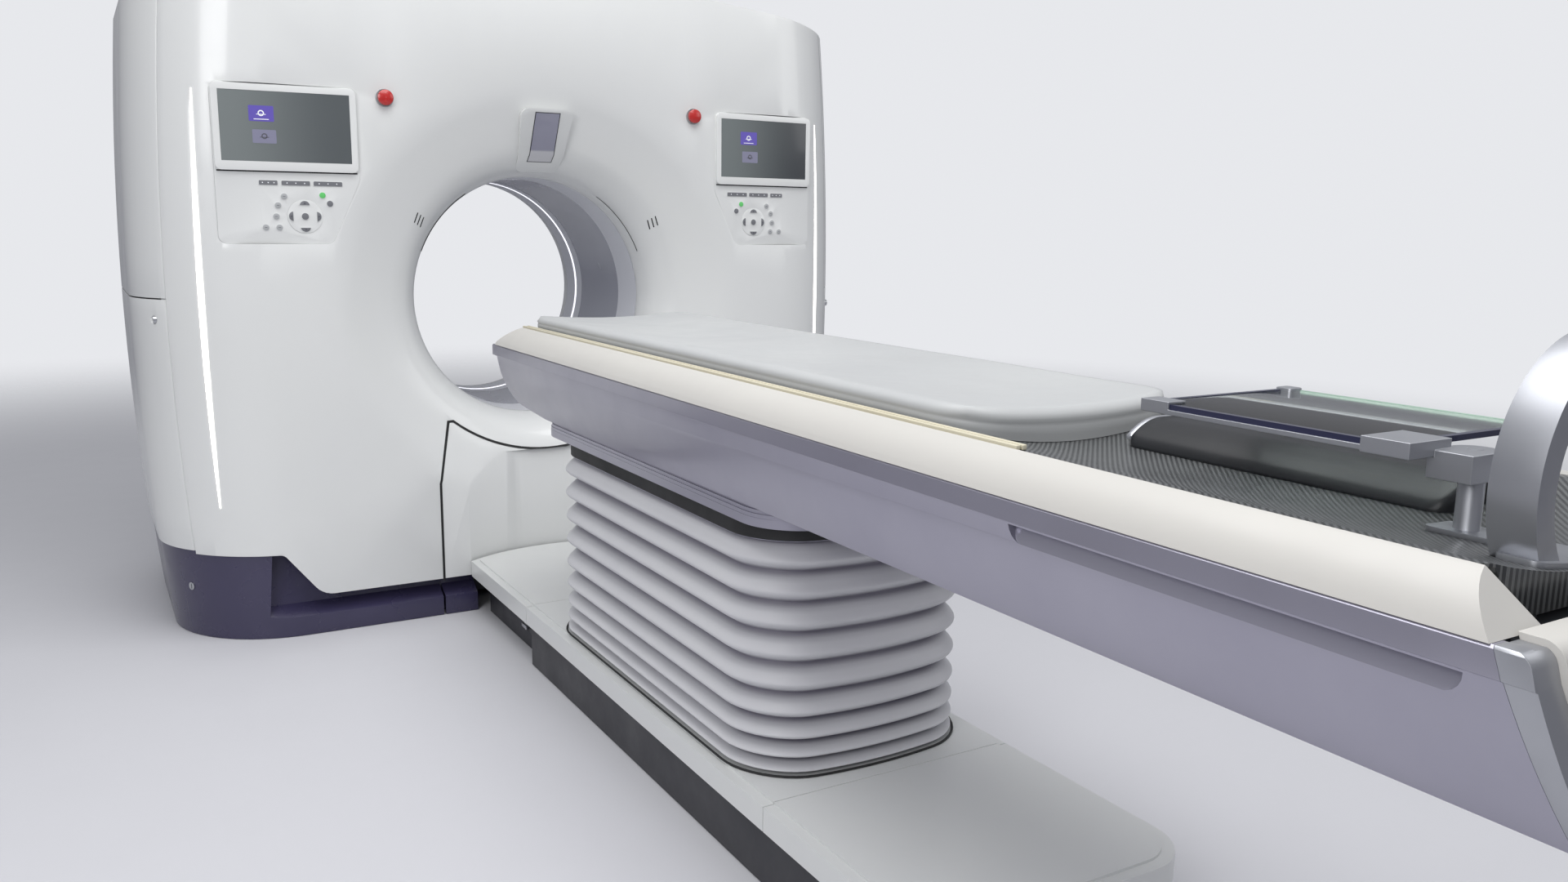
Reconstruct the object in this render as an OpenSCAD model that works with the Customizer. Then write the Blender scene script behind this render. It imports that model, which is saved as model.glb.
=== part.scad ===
// Computed tomography scanner: a gantry with its rotor, and a patient table on a lifting base.
// Millimetres. The origin is on the floor under the scan plane's centre, +Z is up,
// the gantry's front face looks along -Y, and the table stands in front of it.

/* [Gantry] */
// Width of the gantry at the height of the bore axis
gantry_w = 2440; // [2360:10:2560]
// Depth of the gantry from front face to rear face
gantry_d = 1180; // [1120:10:1260]
// Height of the gantry at its middle
gantry_h = 2045; // [2000:5:2120]
// Height of the bore axis above the floor
iso_h = 1023; // [1010:1:1040]
// Radius of the bowed sides, seen from the front
side_bow_r = 10000; // [8000:500:14000]
// Radius of the arched top, seen from the front
top_arch_r = 7300; // [6500:100:9000]
// Radius of the upright corners, seen from above
corner_r = 350; // [300:10:380]
// Radius of the two top corners, seen from the front
top_corner_r = 60; // [40:5:90]
// Wall of the moulded covers
cover_t = 6; // [5:0.5:8]
// Open seam between two covers
seam = 4; // [3:0.5:6]
// How far the front and rear covers wrap round the corners
wrap_d = 120; // [100:5:150]
// How far the top cover stands above the front and rear covers
top_proud = 7; // [4:1:10]
// Height of the seam across the side covers
side_split_h = 1040; // [900:10:1200]
// Half the width of the top cover
top_cover_half = 900; // [800:10:950]
// Height of the white covers' edge above the floor, in front
front_edge_h = 124; // [115:1:140]
// Height of the white covers' edge above the floor, at the corners and sides
side_edge_h = 280; // [250:5:320]

/* [Bore] */
// Diameter of the bore
bore_d = 800; // [760:10:820]
// Diameter of the funnel's mouth in the front face
funnel_d = 1378; // [1300:2:1400]
// Depth of the funnel from the front face to the bore
funnel_depth = 234; // [220:1:260]
// Radius of the rounded lip where the funnel turns into the bore
lip_r = 170; // [140:5:180]
// Width of the clear scan window round the scan plane
scan_window_w = 376; // [300:2:400]
// Distance of the light ring behind the scan plane
light_ring_y = 245; // [225:1:280]
// Width of the light ring
light_ring_w = 14; // [10:1:20]

/* [Belly cover] */
// Half the width of the lower centre cover
belly_half = 386; // [370:1:400]
// Radius of its upper edge about the bore axis
belly_arc_r = 513; // [500:1:530]
// Width of the table's recess in the gantry front
niche_w = 600; // [560:5:640]
// Depth of the table's recess in the gantry front
niche_depth = 88; // [70:1:110]
// Width of the black seal round the lower centre cover
seal_w = 7; // [5:0.5:9]

/* [Controls] */
// Gap between a control panel and the light strip beside it
panel_gap = 54; // [44:1:60]
// Width of a control panel
panel_w = 396; // [380:2:410]
// Height of the control panels' lower edge above the floor
panel_z = 1203; // [1190:1:1220]
// Height of a control panel
panel_h = 454; // [440:2:470]
// Angle by which the panels follow the front's curve
panel_tilt = 3; // [0:0.5:4]
// Width of the screen
screen_w = 354; // [330:1:360]
// Height of the screen
screen_h = 197; // [180:1:205]
// Diameter of the round direction pad
dpad_d = 98; // [80:1:110]
// Diameter of the emergency stop buttons
estop_d = 45; // [36:1:55]
// Distance of the emergency stop buttons from the control panels
estop_gap = 83; // [60:1:110]
// Height of the emergency stop buttons above the floor
estop_z = 1636; // [1600:1:1680]
// Distance of the light strips from the gantry's sides
strip_in = 173; // [160:1:180]
// Height of the light strips' lower end
strip_z = 418; // [400:1:450]
// Length of the light strips
strip_len = 1218; // [1100:2:1260]
// Width of the light strips at their middle
strip_w = 15; // [10:1:22]

/* [Rotor] */
// Outer radius of the rotor plate
rotor_r = 860; // [840:5:870]
// Radius of the main bearing's running face
bearing_r = 560; // [540:2:580]
// Distance of the focal spot from the bore axis
focus_r = 626; // [600:2:650]
// Radius of the detector's face about the focal spot
detector_r = 1097; // [1085:1:1110]
// Half of the fan angle that the detector covers
fan_half = 27; // [24:1:28]
// Width of the detector along the bore
detector_w = 160; // [80:10:200]

/* [Table base] */
// Width of the table's base cover
base_w = 606; // [580:2:630]
// Height of the table's base
base_h = 179; // [170:1:190]
// Height of the base cover's skirt
skirt_h = 56; // [45:1:65]
// Distance of the base's far end from the scan plane
base_foot = 3090; // [3050:5:3160]
// Radius of the two corners at the base's far end
base_corner_r = 110; // [80:5:140]

/* [Lift] */
// Distance of the lift's middle from the scan plane
lift_y = 1900; // [1880:5:1940]
// Distance between the two lifting columns
column_pitch = 580; // [520:10:620]
// Width of a lifting column's outer tube
column_w = 190; // [160:5:200]
// Wall of the column tubes
column_t = 6; // [5:1:8]
// Travel of the table from its highest to its lowest place
lift_travel = 400; // [360:10:400]
// Width of the bellows
bellows_w = 554; // [540:2:570]
// Length of the bellows
bellows_len = 1220; // [1190:5:1240]
// Number of folds in the bellows
folds = 9; // [8:1:10]
// Depth of a fold
fold_d = 22; // [18:1:26]

/* [Table top] */
// Half the width of the table body at its silver band
body_half = 325; // [315:1:335]
// Height of the silver band's upper edge
band_h = 925; // [920:1:930]
// Height of the silver band's lower edge
band_low_h = 895; // [890:1:900]
// Half the width of the table body at its lower edge
body_low_half = 270; // [260:1:280]
// Height of the table body's lower edge
body_low_h = 740; // [735:1:745]
// Distance of the table body's head end from the scan plane
body_y = 1006; // [1000:1:1020]
// Length of the table body up to the silver ring
body_len = 2879; // [2850:1:2920]
// Wall of the table body
body_t = 5; // [4:0.5:7]
// Height of the white rails' inner edge
rail_h = 980; // [977:0.5:980.5]
// Half the clear width between the white rails
rail_half = 272; // [271:0.5:274]

/* [Cradle] */
// Travel of the cradle into the bore
cradle_travel = 1800; // [1500:50:1800]
// Half the width of the cradle
cradle_half = 245; // [235:1:250]
// Length of the cradle
cradle_len = 2800; // [2760:10:2820]
// Height of the cradle's underside
cradle_low_h = 915; // [913:0.5:917]
// Height of the cradle's top along its middle
cradle_mid_h = 945; // [942:0.5:948]
// Height of the cradle's long edges
cradle_edge_h = 976; // [974:0.5:977]
// Radius of the roller that carries the cradle at the head end
roller_r = 24; // [20:1:28]
// Length of the mattress
mattress_len = 2000; // [1900:10:2030]
// Height of the mattress along its edges
mattress_h = 1016; // [1008:1:1020]

/* [Foot end] */
// Outer radius of the handle hoop
hoop_r = 158; // [150:1:175]
// Thickness of the handle hoop
hoop_t = 32; // [24:1:36]
// Width of the handle hoop along the table
hoop_w = 50; // [40:2:70]
// Height of the hoop's centre
hoop_h = 1028; // [1015:1:1040]
// Height of the glass tray's underside
tray_h = 1045; // [1040:1:1060]
// Length of the glass tray
tray_len = 362; // [330:1:380]
// Width of the glass tray
tray_w = 295; // [260:1:310]

/* [Clearances] */
// Gap of a cover's lap, and of pieces that seat on each other
lap_clear = 0.3; // [0.2:0.05:0.5]
// Running gap of a button and of a column stage
run_clear = 0.3; // [0.25:0.05:0.4]
// Running gap of a shaft in its hole, all round
shaft_clear = 0.1; // [0.05:0.01:0.1]
// Gap between the gantry's recess and the table base that reaches into it
niche_gap = 9; // [6:1:14]

/* [Hidden] */

white = "#e9ebe8";
pale_grey = "#cfd2d2";
slate = "#332f55";
steel = "#8b8f94";
dark = "#26282c";
silver = "#a9acb8";

front_y = -gantry_d / 2;
niche_r = (niche_w * niche_w / 4 + niche_depth * niche_depth) / (2 * niche_depth);
seam_y = front_y + wrap_d;
niche_y = front_y + niche_depth - niche_r;
bore_r = bore_d / 2;
strip_x = gantry_w / 2 - strip_in;
panel_x = strip_x - panel_gap - panel_w;
estop_x = panel_x - estop_gap;
funnel_r = funnel_d / 2;
plinth_inset = cover_t + lap_clear;
plinth_t = 8;
lap_w = 20;
lap_t = 4;
far = 3000;
eps = 0.01;

// Where two circles cross: the crossing on the left hand of the line from a to b
function circles_meet(a, ra, b, rb) =
    let (d = norm(b - a), e = (b - a) / d, k = (ra * ra - rb * rb + d * d) / (2 * d),
         h = sqrt(ra * ra - k * k))
    a + k * e + h * [-e.y, e.x];

// Points of the arc that rounds the corner b between its neighbours a and c
function corner_arc(a, b, c, r, steps = 5) =
    r == 0 ? [b] :
    let (u = (a - b) / norm(a - b), v = (c - b) / norm(c - b), half = acos(u * v) / 2,
         o = b + (u + v) / norm(u + v) * r / sin(half),
         p = b + u * r / tan(half) - o, q = b + v * r / tan(half) - o,
         start = atan2(p.y, p.x),
         turn = (atan2(q.y, q.x) - start + 900) % 360 - 180)
    [for (i = [0:steps]) o + r * [cos(start + turn * i / steps), sin(start + turn * i / steps)]];

// An outline with each corner rounded by its own radius
function rounded(points, radii) =
    let (n = len(points))
    [for (i = [0:n - 1])
        each corner_arc(points[(i + n - 1) % n], points[i], points[(i + 1) % n], radii[i])];

// The mirror image of an open outline, so that both halves make a closed one
function with_mirror(half) =
    concat(half, [for (i = [len(half) - 1:-1:0]) [-half[i].x, half[i].y]]);

// A side wall's distance from the middle plane at a height
function side_x(z, inset) = gantry_w / 2 - side_bow_r
    + sqrt(pow(side_bow_r - inset, 2) - pow(z - iso_h, 2));

// An outline in X and Z drawn out along Y
module along_y(y0, y1) translate([0, y1, 0]) rotate([90, 0, 0]) linear_extrude(y1 - y0) children();

// An outline in Y and Z drawn out along X
module along_x(x0, x1) translate([x0, 0, 0]) rotate([90, 0, 90]) linear_extrude(x1 - x0) children();

// An outline in radius and Y turned about the bore axis
module about_bore(facets = 180) translate([0, 0, iso_h]) rotate([-90, 0, 0])
    rotate_extrude($fn = facets) children();

// A ring about the bore axis with a square section
module bore_ring(r0, r1, y0, y1) about_bore() translate([r0, y0]) square([r1 - r0, y1 - y0]);

// A rectangle in plan with its corners rounded
module round_rect(w, l, r) {
    square([w - 2 * r, l], center = true);
    square([w, l - 2 * r], center = true);
    for (x = [-1, 1], y = [-1, 1]) translate([x * (w / 2 - r), y * (l / 2 - r)]) circle(r, $fn = 48);
}

// The gantry's outer form

bow_sweep = 16.5;

module plan_half(inset) {
    r_out = side_bow_r - inset;
    r_in = side_bow_r - 1.5 * gantry_w;
    half = gantry_d / 2 - inset;
    c = corner_r - inset;
    translate([r_in, -half]) square([r_out - c - r_in, 2 * half]);
    translate([r_in, c - half]) square([r_out - r_in, 2 * (half - c)]);
    for (y = [c - half, half - c]) translate([r_out - c, y]) circle(c, $fn = 256);
}

module bowed_side(inset) translate([gantry_w / 2 - side_bow_r, 0, iso_h]) rotate([-90, 0, 0])
    rotate([0, 0, -bow_sweep / 2]) rotate_extrude(angle = bow_sweep, $fn = 720) plan_half(inset);

side_centre = [gantry_w / 2 - side_bow_r, iso_h];
arch_centre = [0, gantry_h - top_arch_r];
top_corner = circles_meet(side_centre, side_bow_r - top_corner_r,
    arch_centre, top_arch_r - top_corner_r);

module top_view(inset, low) {
    to_side = (top_corner - side_centre) / norm(top_corner - side_centre);
    to_top = (top_corner - arch_centre) / norm(top_corner - arch_centre);
    reach = 2 * top_corner_r;
    difference() {
        intersection() {
            translate(arch_centre) circle(top_arch_r - inset, $fn = 720);
            translate([-far / 2, low]) square([far, gantry_h]);
        }
        for (s = [0, 1]) mirror([s, 0]) polygon([top_corner, top_corner + reach * to_side,
            top_corner + reach * (to_side + to_top), top_corner + reach * to_top]);
    }
    for (s = [0, 1]) mirror([s, 0]) translate(top_corner) circle(top_corner_r - inset, $fn = 64);
}

module gantry_solid(inset, low = -1) intersection() {
    bowed_side(inset);
    mirror([1, 0, 0]) bowed_side(inset);
    along_y(-gantry_d, gantry_d) top_view(inset, low);
}

// The funnel is a cone that runs tangent into a rounded lip, and the lip into the bore
lip_c = bore_r + lip_r;
mouth_run = funnel_r - lip_c;
lip_turn = atan2(mouth_run, funnel_depth) + asin(lip_r / norm([mouth_run, funnel_depth]));

module funnel_profile(inset) {
    r = lip_r - inset;
    tangent = [lip_c - r * cos(lip_turn), funnel_depth - r * sin(lip_turn)];
    ahead = 30;
    mouth = tangent.x + (tangent.y + ahead) * tan(lip_turn);
    deep = gantry_d / 2 + 1;
    difference() {
        polygon([[0, -ahead], [mouth, -ahead], tangent, [lip_c, funnel_depth],
            [bore_r + inset, funnel_depth], [bore_r + inset, deep], [0, deep]]);
        translate([lip_c, funnel_depth]) circle(r, $fn = 180);
    }
}

module funnel_void(inset) {
    translate([0, front_y, 0]) about_bore(240) funnel_profile(inset);
    mirror([0, 1, 0]) translate([0, front_y, 0]) about_bore(240) funnel_profile(inset);
}

niche_top = iso_h - belly_arc_r + 4;

module niche(inset) translate([0, niche_y, -2])
    cylinder(r = niche_r + inset, h = niche_top + 2, $fn = 240);

module cover_zone(inset) difference() {
    gantry_solid(inset);
    funnel_void(inset);
    niche(inset);
}

module cover_shell() difference() {
    cover_zone(0);
    cover_zone(cover_t);
}

module slab_y(y0, y1) translate([-far, y0, -10]) cube([2 * far, y1 - y0, far]);

// A lip inside one cover that runs on under its neighbour, with the lap's clearance
module cover_lap(y0) {
    intersection() {
        difference() {
            gantry_solid(cover_t - 1);
            gantry_solid(cover_t + lap_t);
        }
        slab_y(y0 - lap_w, y0);
    }
    intersection() {
        difference() {
            gantry_solid(cover_t + lap_clear);
            gantry_solid(cover_t + lap_t);
        }
        slab_y(y0 - eps, y0 + seam + lap_w);
    }
}

// The white covers end above the floor in a step that rises towards the corners
edge_out = gantry_w / 2 - 348;
edge_in = edge_out - 107;

module below_edge(grow) {
    half = [[edge_in, front_edge_h + grow], [edge_out, side_edge_h + grow - 16],
        [far / 2, side_edge_h + grow], [far / 2, -20]];
    polygon(rounded(with_mirror(half), [70, 24, 0, 0, 0, 0, 24, 70]));
}

module belly_outline(grow) difference() {
    taper = 50;
    straight = 440;
    top = 625;
    polygon(with_mirror([[belly_half + grow, -20], [belly_half + grow, straight],
        [belly_half + grow - taper, top + grow], [0, top + grow]]));
    translate([0, iso_h]) circle(belly_arc_r - grow, $fn = 240);
}

// The light strip is a slim lens that bows outwards: its outer edge bows more than its inner edge
strip_bow = 12;
strip_end = 3;

module strip_outline(grow) {
    half = strip_len / 2 + grow;
    along = [for (i = [-12:12]) i / 12];
    edges = [for (side = [-1, 1]) [for (t = along)
        [strip_x + side * (strip_end / 2 + grow) - strip_bow
            + (strip_bow + side * (strip_w - strip_end) / 2) * (1 - t * t),
            strip_z + strip_len / 2 + half * t]]];
    polygon(concat(edges[1], [for (i = [24:-1:0]) edges[0][i]]));
}

// Places a piece that is drawn in a control panel's own plane: X runs from the panel's inner
// edge away from the bore, Y runs up from its lower edge and Z comes out of the panel
module on_panel(side) mirror([side < 0 ? 1 : 0, 0, 0]) translate([panel_x, front_y, panel_z])
    rotate([0, 0, panel_tilt]) rotate([90, 0, 0]) children();

display_low = 209;
display_proud = 12;
panel_back = 30;
panel_cut_x = 84;
panel_cut_z = 186;
panel_corner_r = 22;
screen_x = 21;
screen_y = 235;
dpad_x = 159;
dpad_y = 80;
key_r = 10;
key_proud = 1.2;

function panel_outline(grow) = rounded([[-grow, panel_h + grow], [-grow, panel_cut_z],
    [panel_cut_x - grow / 2, -grow], [panel_w + grow, -grow], [panel_w + grow, panel_h + grow]],
    [panel_corner_r, 60, 30, panel_corner_r, panel_corner_r]);

module control_panel() difference() {
    union() {
        translate([0, 0, -panel_back]) linear_extrude(panel_back + 2) polygon(panel_outline(0));
        translate([0, display_low, 0]) linear_extrude(display_proud)
            polygon(rounded([[3, 0], [panel_w - 3, 0], [panel_w - 3, panel_h - display_low - 3],
                [3, panel_h - display_low - 3]], [16, 16, 16, 16]));
        for (bar = [[50, 82], [140, 80], [229, 52]])
            translate([bar[0], 168, 0]) cube([bar[1], 15, 2 + key_proud]);
        for (key = [[214, 137], [232, 111], [238, 79], [268, 47], [231, 47], [108, 142], [88, 118]])
            translate([key.x, key.y, 0]) cylinder(r = key_r, h = 2 + key_proud, $fn = 32);
    }
    translate([screen_x - lap_clear, screen_y - lap_clear, display_proud - 6])
        cube([screen_w + 2 * lap_clear, screen_h + 2 * lap_clear, 20]);
    translate([dpad_x, dpad_y, -12]) cylinder(d = dpad_d + 2 * run_clear, h = 40, $fn = 64);
}

module screen() translate([screen_x, screen_y, display_proud - 6 + lap_clear])
    cube([screen_w, screen_h, 5]);

module direction_pad() translate([dpad_x, dpad_y, -10]) {
    cylinder(d = dpad_d, h = 13, $fn = 64);
    translate([0, 0, 13]) cylinder(r = 11, h = 1.5, $fn = 32);
    for (a = [0:90:270]) rotate([0, 0, a]) translate([0, 31, 13]) intersection() {
        cylinder(r = 15, h = 1.5, $fn = 32);
        translate([-20, 1, 0]) cube([40, 20, 5]);
    }
}

module estop_place(side) translate([side * estop_x, front_y, estop_z]) rotate([90, 0, 0]) children();

module estop() {
    stem_r = 11;
    rotate_extrude($fn = 64) difference() {
        union() {
            translate([0, -20]) square([stem_r, 30]);
            translate([0, 8]) square([estop_d / 2, 10]);
            intersection() {
                translate([0, 18 - estop_d]) circle(estop_d * 1.12, $fn = 96);
                translate([0, 17]) square([estop_d / 2, 12]);
            }
        }
        translate([-50, -100]) square([50, 200]);
    }
}

// The camera window's housing: its side outline, from the funnel's wall forwards
housing_half = 88;
window_half = 42;
window_rise = 32;
housing_top = iso_h + 600;
housing_knee = iso_h + 469;
housing_foot = iso_h + 414;

module housing_side(inset) polygon([[front_y + 200, housing_top + 12 - inset],
    [front_y - 1 + inset, housing_top + 12 - inset], [front_y + 78 + inset, housing_knee],
    [front_y + 148 + inset, housing_foot + inset], [front_y + 200, housing_foot + inset]]);

module window_housing_form() intersection() {
    along_x(-housing_half, housing_half) housing_side(0);
    along_y(front_y - 10, 0) polygon(rounded([[-housing_half, housing_top + 10],
        [-housing_half + 16, housing_foot], [housing_half - 16, housing_foot],
        [housing_half, housing_top + 10]], [24, 24, 24, 24]));
}

// Covers

vent_n = 8;
vent_w = 6;
vent_pitch = 22;
rear_vent_x = gantry_w / 2 - 400;
rear_vent_z = 380;
rear_vent_h = 180;
top_vent_n = 18;
top_vent_x = 430;
top_vent_l = 360;
top_vent_pitch = 26;

module front_cover() color(white) {
    difference() {
        intersection() {
            cover_shell();
            union() {
                slab_y(front_y - 1, seam_y);
                translate([0, 0, iso_h]) rotate([90, 0, 0]) cylinder(r = funnel_r - 1,
                    h = -front_y, $fn = 180);
            }
            slab_y(front_y - 1, front_y + funnel_depth);
        }
        along_y(front_y - 20, 0) below_edge(0);
        along_y(front_y - 20, 0) belly_outline(seal_w + 2 * lap_clear);
        for (s = [0, 1]) mirror([s, 0, 0]) {
            along_y(front_y - 20, 0) strip_outline(lap_clear);
            on_panel(1) translate([0, 0, -80]) linear_extrude(160)
                polygon(panel_outline(lap_clear));
        }
        for (side = [-1, 1]) estop_place(side) translate([0, 0, -40])
            cylinder(r = 11 + run_clear, h = 80, $fn = 64);
    }
    difference() {
        cover_lap(seam_y);
        along_y(front_y - 20, 0) below_edge(lap_w + lap_clear);
    }
}

module belly_cover() color(white) intersection() {
    cover_shell();
    along_y(front_y - 20, front_y + funnel_depth) difference() {
        belly_outline(0);
        square([far, 2 * front_edge_h], center = true);
    }
}

module belly_seal() color(dark) intersection() {
    difference() {
        cover_zone(-1);
        cover_zone(cover_t);
    }
    along_y(front_y - 20, front_y + funnel_depth) difference() {
        belly_outline(seal_w + lap_clear);
        belly_outline(lap_clear);
        square([far, 2 * front_edge_h - 2 * seal_w], center = true);
    }
}

module rear_cover() color(white) mirror([0, 1, 0]) {
    difference() {
        intersection() {
            difference() {
                gantry_solid(0);
                funnel_void(0);
                difference() {
                    gantry_solid(cover_t);
                    funnel_void(cover_t);
                }
            }
            union() {
                slab_y(front_y - 1, seam_y);
                translate([0, 0, iso_h]) rotate([90, 0, 0]) cylinder(r = funnel_r - 1,
                    h = -front_y, $fn = 180);
            }
            slab_y(front_y - 1, front_y + funnel_depth);
        }
        along_y(front_y - 20, 0) below_edge(0);
        for (s = [-1, 1], i = [0:vent_n - 1])
            translate([s * rear_vent_x + (i - (vent_n - 1) / 2) * vent_pitch, front_y - 5, rear_vent_z])
                cube([vent_w, 40, rear_vent_h]);
    }
    difference() {
        cover_lap(seam_y);
        along_y(front_y - 20, 0) below_edge(lap_w + lap_clear);
    }
}

// Between the front and rear covers
module side_shell(z0, z1) difference() {
    intersection() {
        difference() {
            gantry_solid(0);
            gantry_solid(cover_t);
        }
        translate([0, seam_y + seam, z0]) cube([far, -2 * (seam_y + seam), z1 - z0]);
    }
    translate([-far, -far, side_split_h + 1]) cube([far + top_cover_half + seam, 2 * far, far]);
}

module lower_side_cover() color(white) difference() {
    side_shell(side_edge_h, side_split_h - seam / 2);
    for (y = [-1, 1]) translate([0, y * lock_y, lock_z]) rotate([0, 90, 0])
        cylinder(r = lock_r + lap_clear, h = far, $fn = 48);
}

module upper_side_cover() color(white) side_shell(side_split_h + seam / 2, far);

module top_cover() color(white) difference() {
    along_y(seam_y + seam, -seam_y - seam) intersection() {
        difference() {
            top_view(-top_proud, side_split_h);
            top_view(cover_t, 0);
        }
        translate([-top_cover_half, side_split_h]) square([2 * top_cover_half, far]);
    }
    for (s = [-1, 1], i = [0:top_vent_n - 1])
        translate([s * top_vent_x + (i - (top_vent_n - 1) / 2) * top_vent_pitch, -top_vent_l / 2,
            gantry_h - 200]) cube([vent_w, top_vent_l, 300]);
}

lock_r = 12;
lock_len = 20;
lock_y = gantry_d / 2 - 165;
lock_z = side_split_h - 62;
base_lock_x = gantry_w / 2 - 100;
base_lock_z = 160;

// Where the side cover's face lies at the locks: the corner arc at their distance from the middle
lock_x = side_x(lock_z, 0) - corner_r
    + sqrt(pow(corner_r, 2) - pow(lock_y - (gantry_d / 2 - corner_r), 2));

module base_lock_place(side) {
    corner_x = side_x(base_lock_z, 0) - corner_r;
    turn = asin((base_lock_x - corner_x) / (corner_r - plinth_inset));
    mirror([side < 0 ? 1 : 0, 0, 0]) translate([corner_x, -(gantry_d / 2 - corner_r), base_lock_z])
        rotate([0, 0, turn]) translate([0, -(corner_r - plinth_inset), 0]) rotate([90, 0, 0]) children();
}

module cover_locks() color(steel) {
    for (x = [-1, 1], y = [-1, 1]) mirror([x < 0 ? 1 : 0, 0, 0])
        translate([lock_x + 2 - lock_len, y * lock_y, lock_z]) rotate([0, 90, 0]) lock_barrel();
    for (side = [-1, 1]) base_lock_place(side) translate([0, 0, 2 - lock_len]) lock_barrel();
}

module lock_barrel() difference() {
    cylinder(r = lock_r, h = lock_len, $fn = 48);
    translate([-1.5, -8, lock_len - 3]) cube([3, 16, 5]);
}

// Plinth: dark shell behind the white edge, with the recess and its sloping ledge in front
box_half = 250;
base_way = 2 * box_half + 60;
recess_half = gantry_w / 2 - 295;
recess_depth = 60;
ledge_front_h = 61;
ledge_back_h = 91;

module recess_cut() {
    half = recess_half;
    intersection() {
        along_x(-half, half) polygon([[front_y - 30, ledge_front_h - 15], [front_y + 6, ledge_front_h],
            [front_y + recess_depth, ledge_back_h], [front_y + recess_depth, 300],
            [front_y - 30, 300]]);
        along_y(front_y - 40, front_y + recess_depth + 1) polygon(rounded([[-half, 0], [half, 0],
            [half - 30, 400], [30 - half, 400]], [60, 60, 0, 0]));
    }
}

module gantry_plinth() color(slate) {
    difference() {
        intersection() {
            gantry_solid(plinth_inset, 0);
            along_y(-gantry_d, gantry_d) difference() {
                below_edge(lap_w);
                translate([-far, -100]) square([2 * far, 100]);
            }
        }
        difference() {
            gantry_solid(plinth_inset + plinth_t);
            intersection() {
                translate([-recess_half - plinth_t, front_y, -10])
                    cube([2 * (recess_half + plinth_t), recess_depth + plinth_t, 320]);
                difference() {
                    slab_y(front_y, front_y + recess_depth + plinth_t);
                    translate([-recess_half, front_y + plinth_inset + plinth_t, -20])
                        cube([2 * recess_half, recess_depth - plinth_t - plinth_inset,
                            ledge_front_h - plinth_t + 20]);
                }
            }
        }
        recess_cut();
        translate([-base_way / 2, front_y - 5, -5]) cube([base_way, 200, 400]);
        for (side = [-1, 1]) base_lock_place(side) translate([0, 0, -40])
            cylinder(r = lock_r + lap_clear, h = 80, $fn = 48);
        for (side = [-1, 1]) translate([side * (belly_half + seal_w / 2) - seal_w / 2, front_y - 5, -5])
            cube([seal_w, recess_depth + 8, 400]);
    }
}

// Bore

liner_t = cover_t;
liner_half = gantry_d / 2 - funnel_depth - seam;

module bore_liner() color(pale_grey) difference() {
    about_bore() {
        for (y = [-liner_half, scan_window_w / 2]) translate([bore_r, y])
            square([liner_t, liner_half - scan_window_w / 2]);
        translate([bore_r + liner_t - eps, -liner_half]) square([lap_t + lap_clear, 2 * liner_half]);
        translate([bore_r + liner_t + 1, -liner_half - seam - 8])
            square([lap_t, 2 * (liner_half + seam + 8)]);
    }
    bore_ring(bore_r - 5, bore_r + liner_t / 2 + lap_clear, light_ring_y - lap_clear,
        light_ring_y + light_ring_w + lap_clear);
    bore_ring(bore_r - 5, bore_r + liner_t * 2, -scan_window_w / 2 + 12, scan_window_w / 2 - 12);
}

module scan_window() color("#b9bfc6") bore_ring(bore_r + 1, bore_r + liner_t - lap_clear,
    -scan_window_w / 2 + lap_clear, scan_window_w / 2 - lap_clear);

module light_ring() color("#f6f6ff") bore_ring(bore_r - 1, bore_r + liner_t / 2,
    light_ring_y, light_ring_y + light_ring_w);

module light_strips() color("#f6f6ff") for (s = [0, 1]) mirror([s, 0, 0]) intersection() {
    difference() {
        gantry_solid(-1);
        gantry_solid(cover_t + 4);
    }
    along_y(front_y - 20, seam_y) strip_outline(0);
}

module window_housing() color(white) difference() {
    window_housing_form();
    cover_zone(-lap_clear);
    window_form(lap_clear);
}

module window_form(grow) intersection() {
    difference() {
        along_x(-window_half - grow, window_half + grow) housing_side(-1);
        along_x(-window_half - 9, window_half + 9) housing_side(5 + grow);
    }
    translate([-100, front_y - 20, housing_foot + window_rise - grow])
        cube([200, 200, housing_top - housing_foot - window_rise - 2 + 2 * grow]);
}

module camera_window() color("#4b5262") window_form(0);

module panel_node(side) color(white) on_panel(side) control_panel();

module screen_node(side) color("#3a3f44") on_panel(side) screen();

module pad_node(side) color(white) on_panel(side) direction_pad();

module estop_node(side) color("#d0282a") estop_place(side) estop();

// Gantry frame: floor beams, anchor pads, the stand plate and the cover brackets
stand_y = gantry_d / 2 - 290;
stand_t = 60;
beam_low = 20;
beam_top = 100;
beam_half_w = 50;
beam_end = gantry_w / 2 - 220;
anchor_x = beam_end - 100;
anchor_y = gantry_d / 2 - 210;
anchor_hole_r = 11;
anchor_pad = [160, 160, 30];
rib_t = 40;

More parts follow.
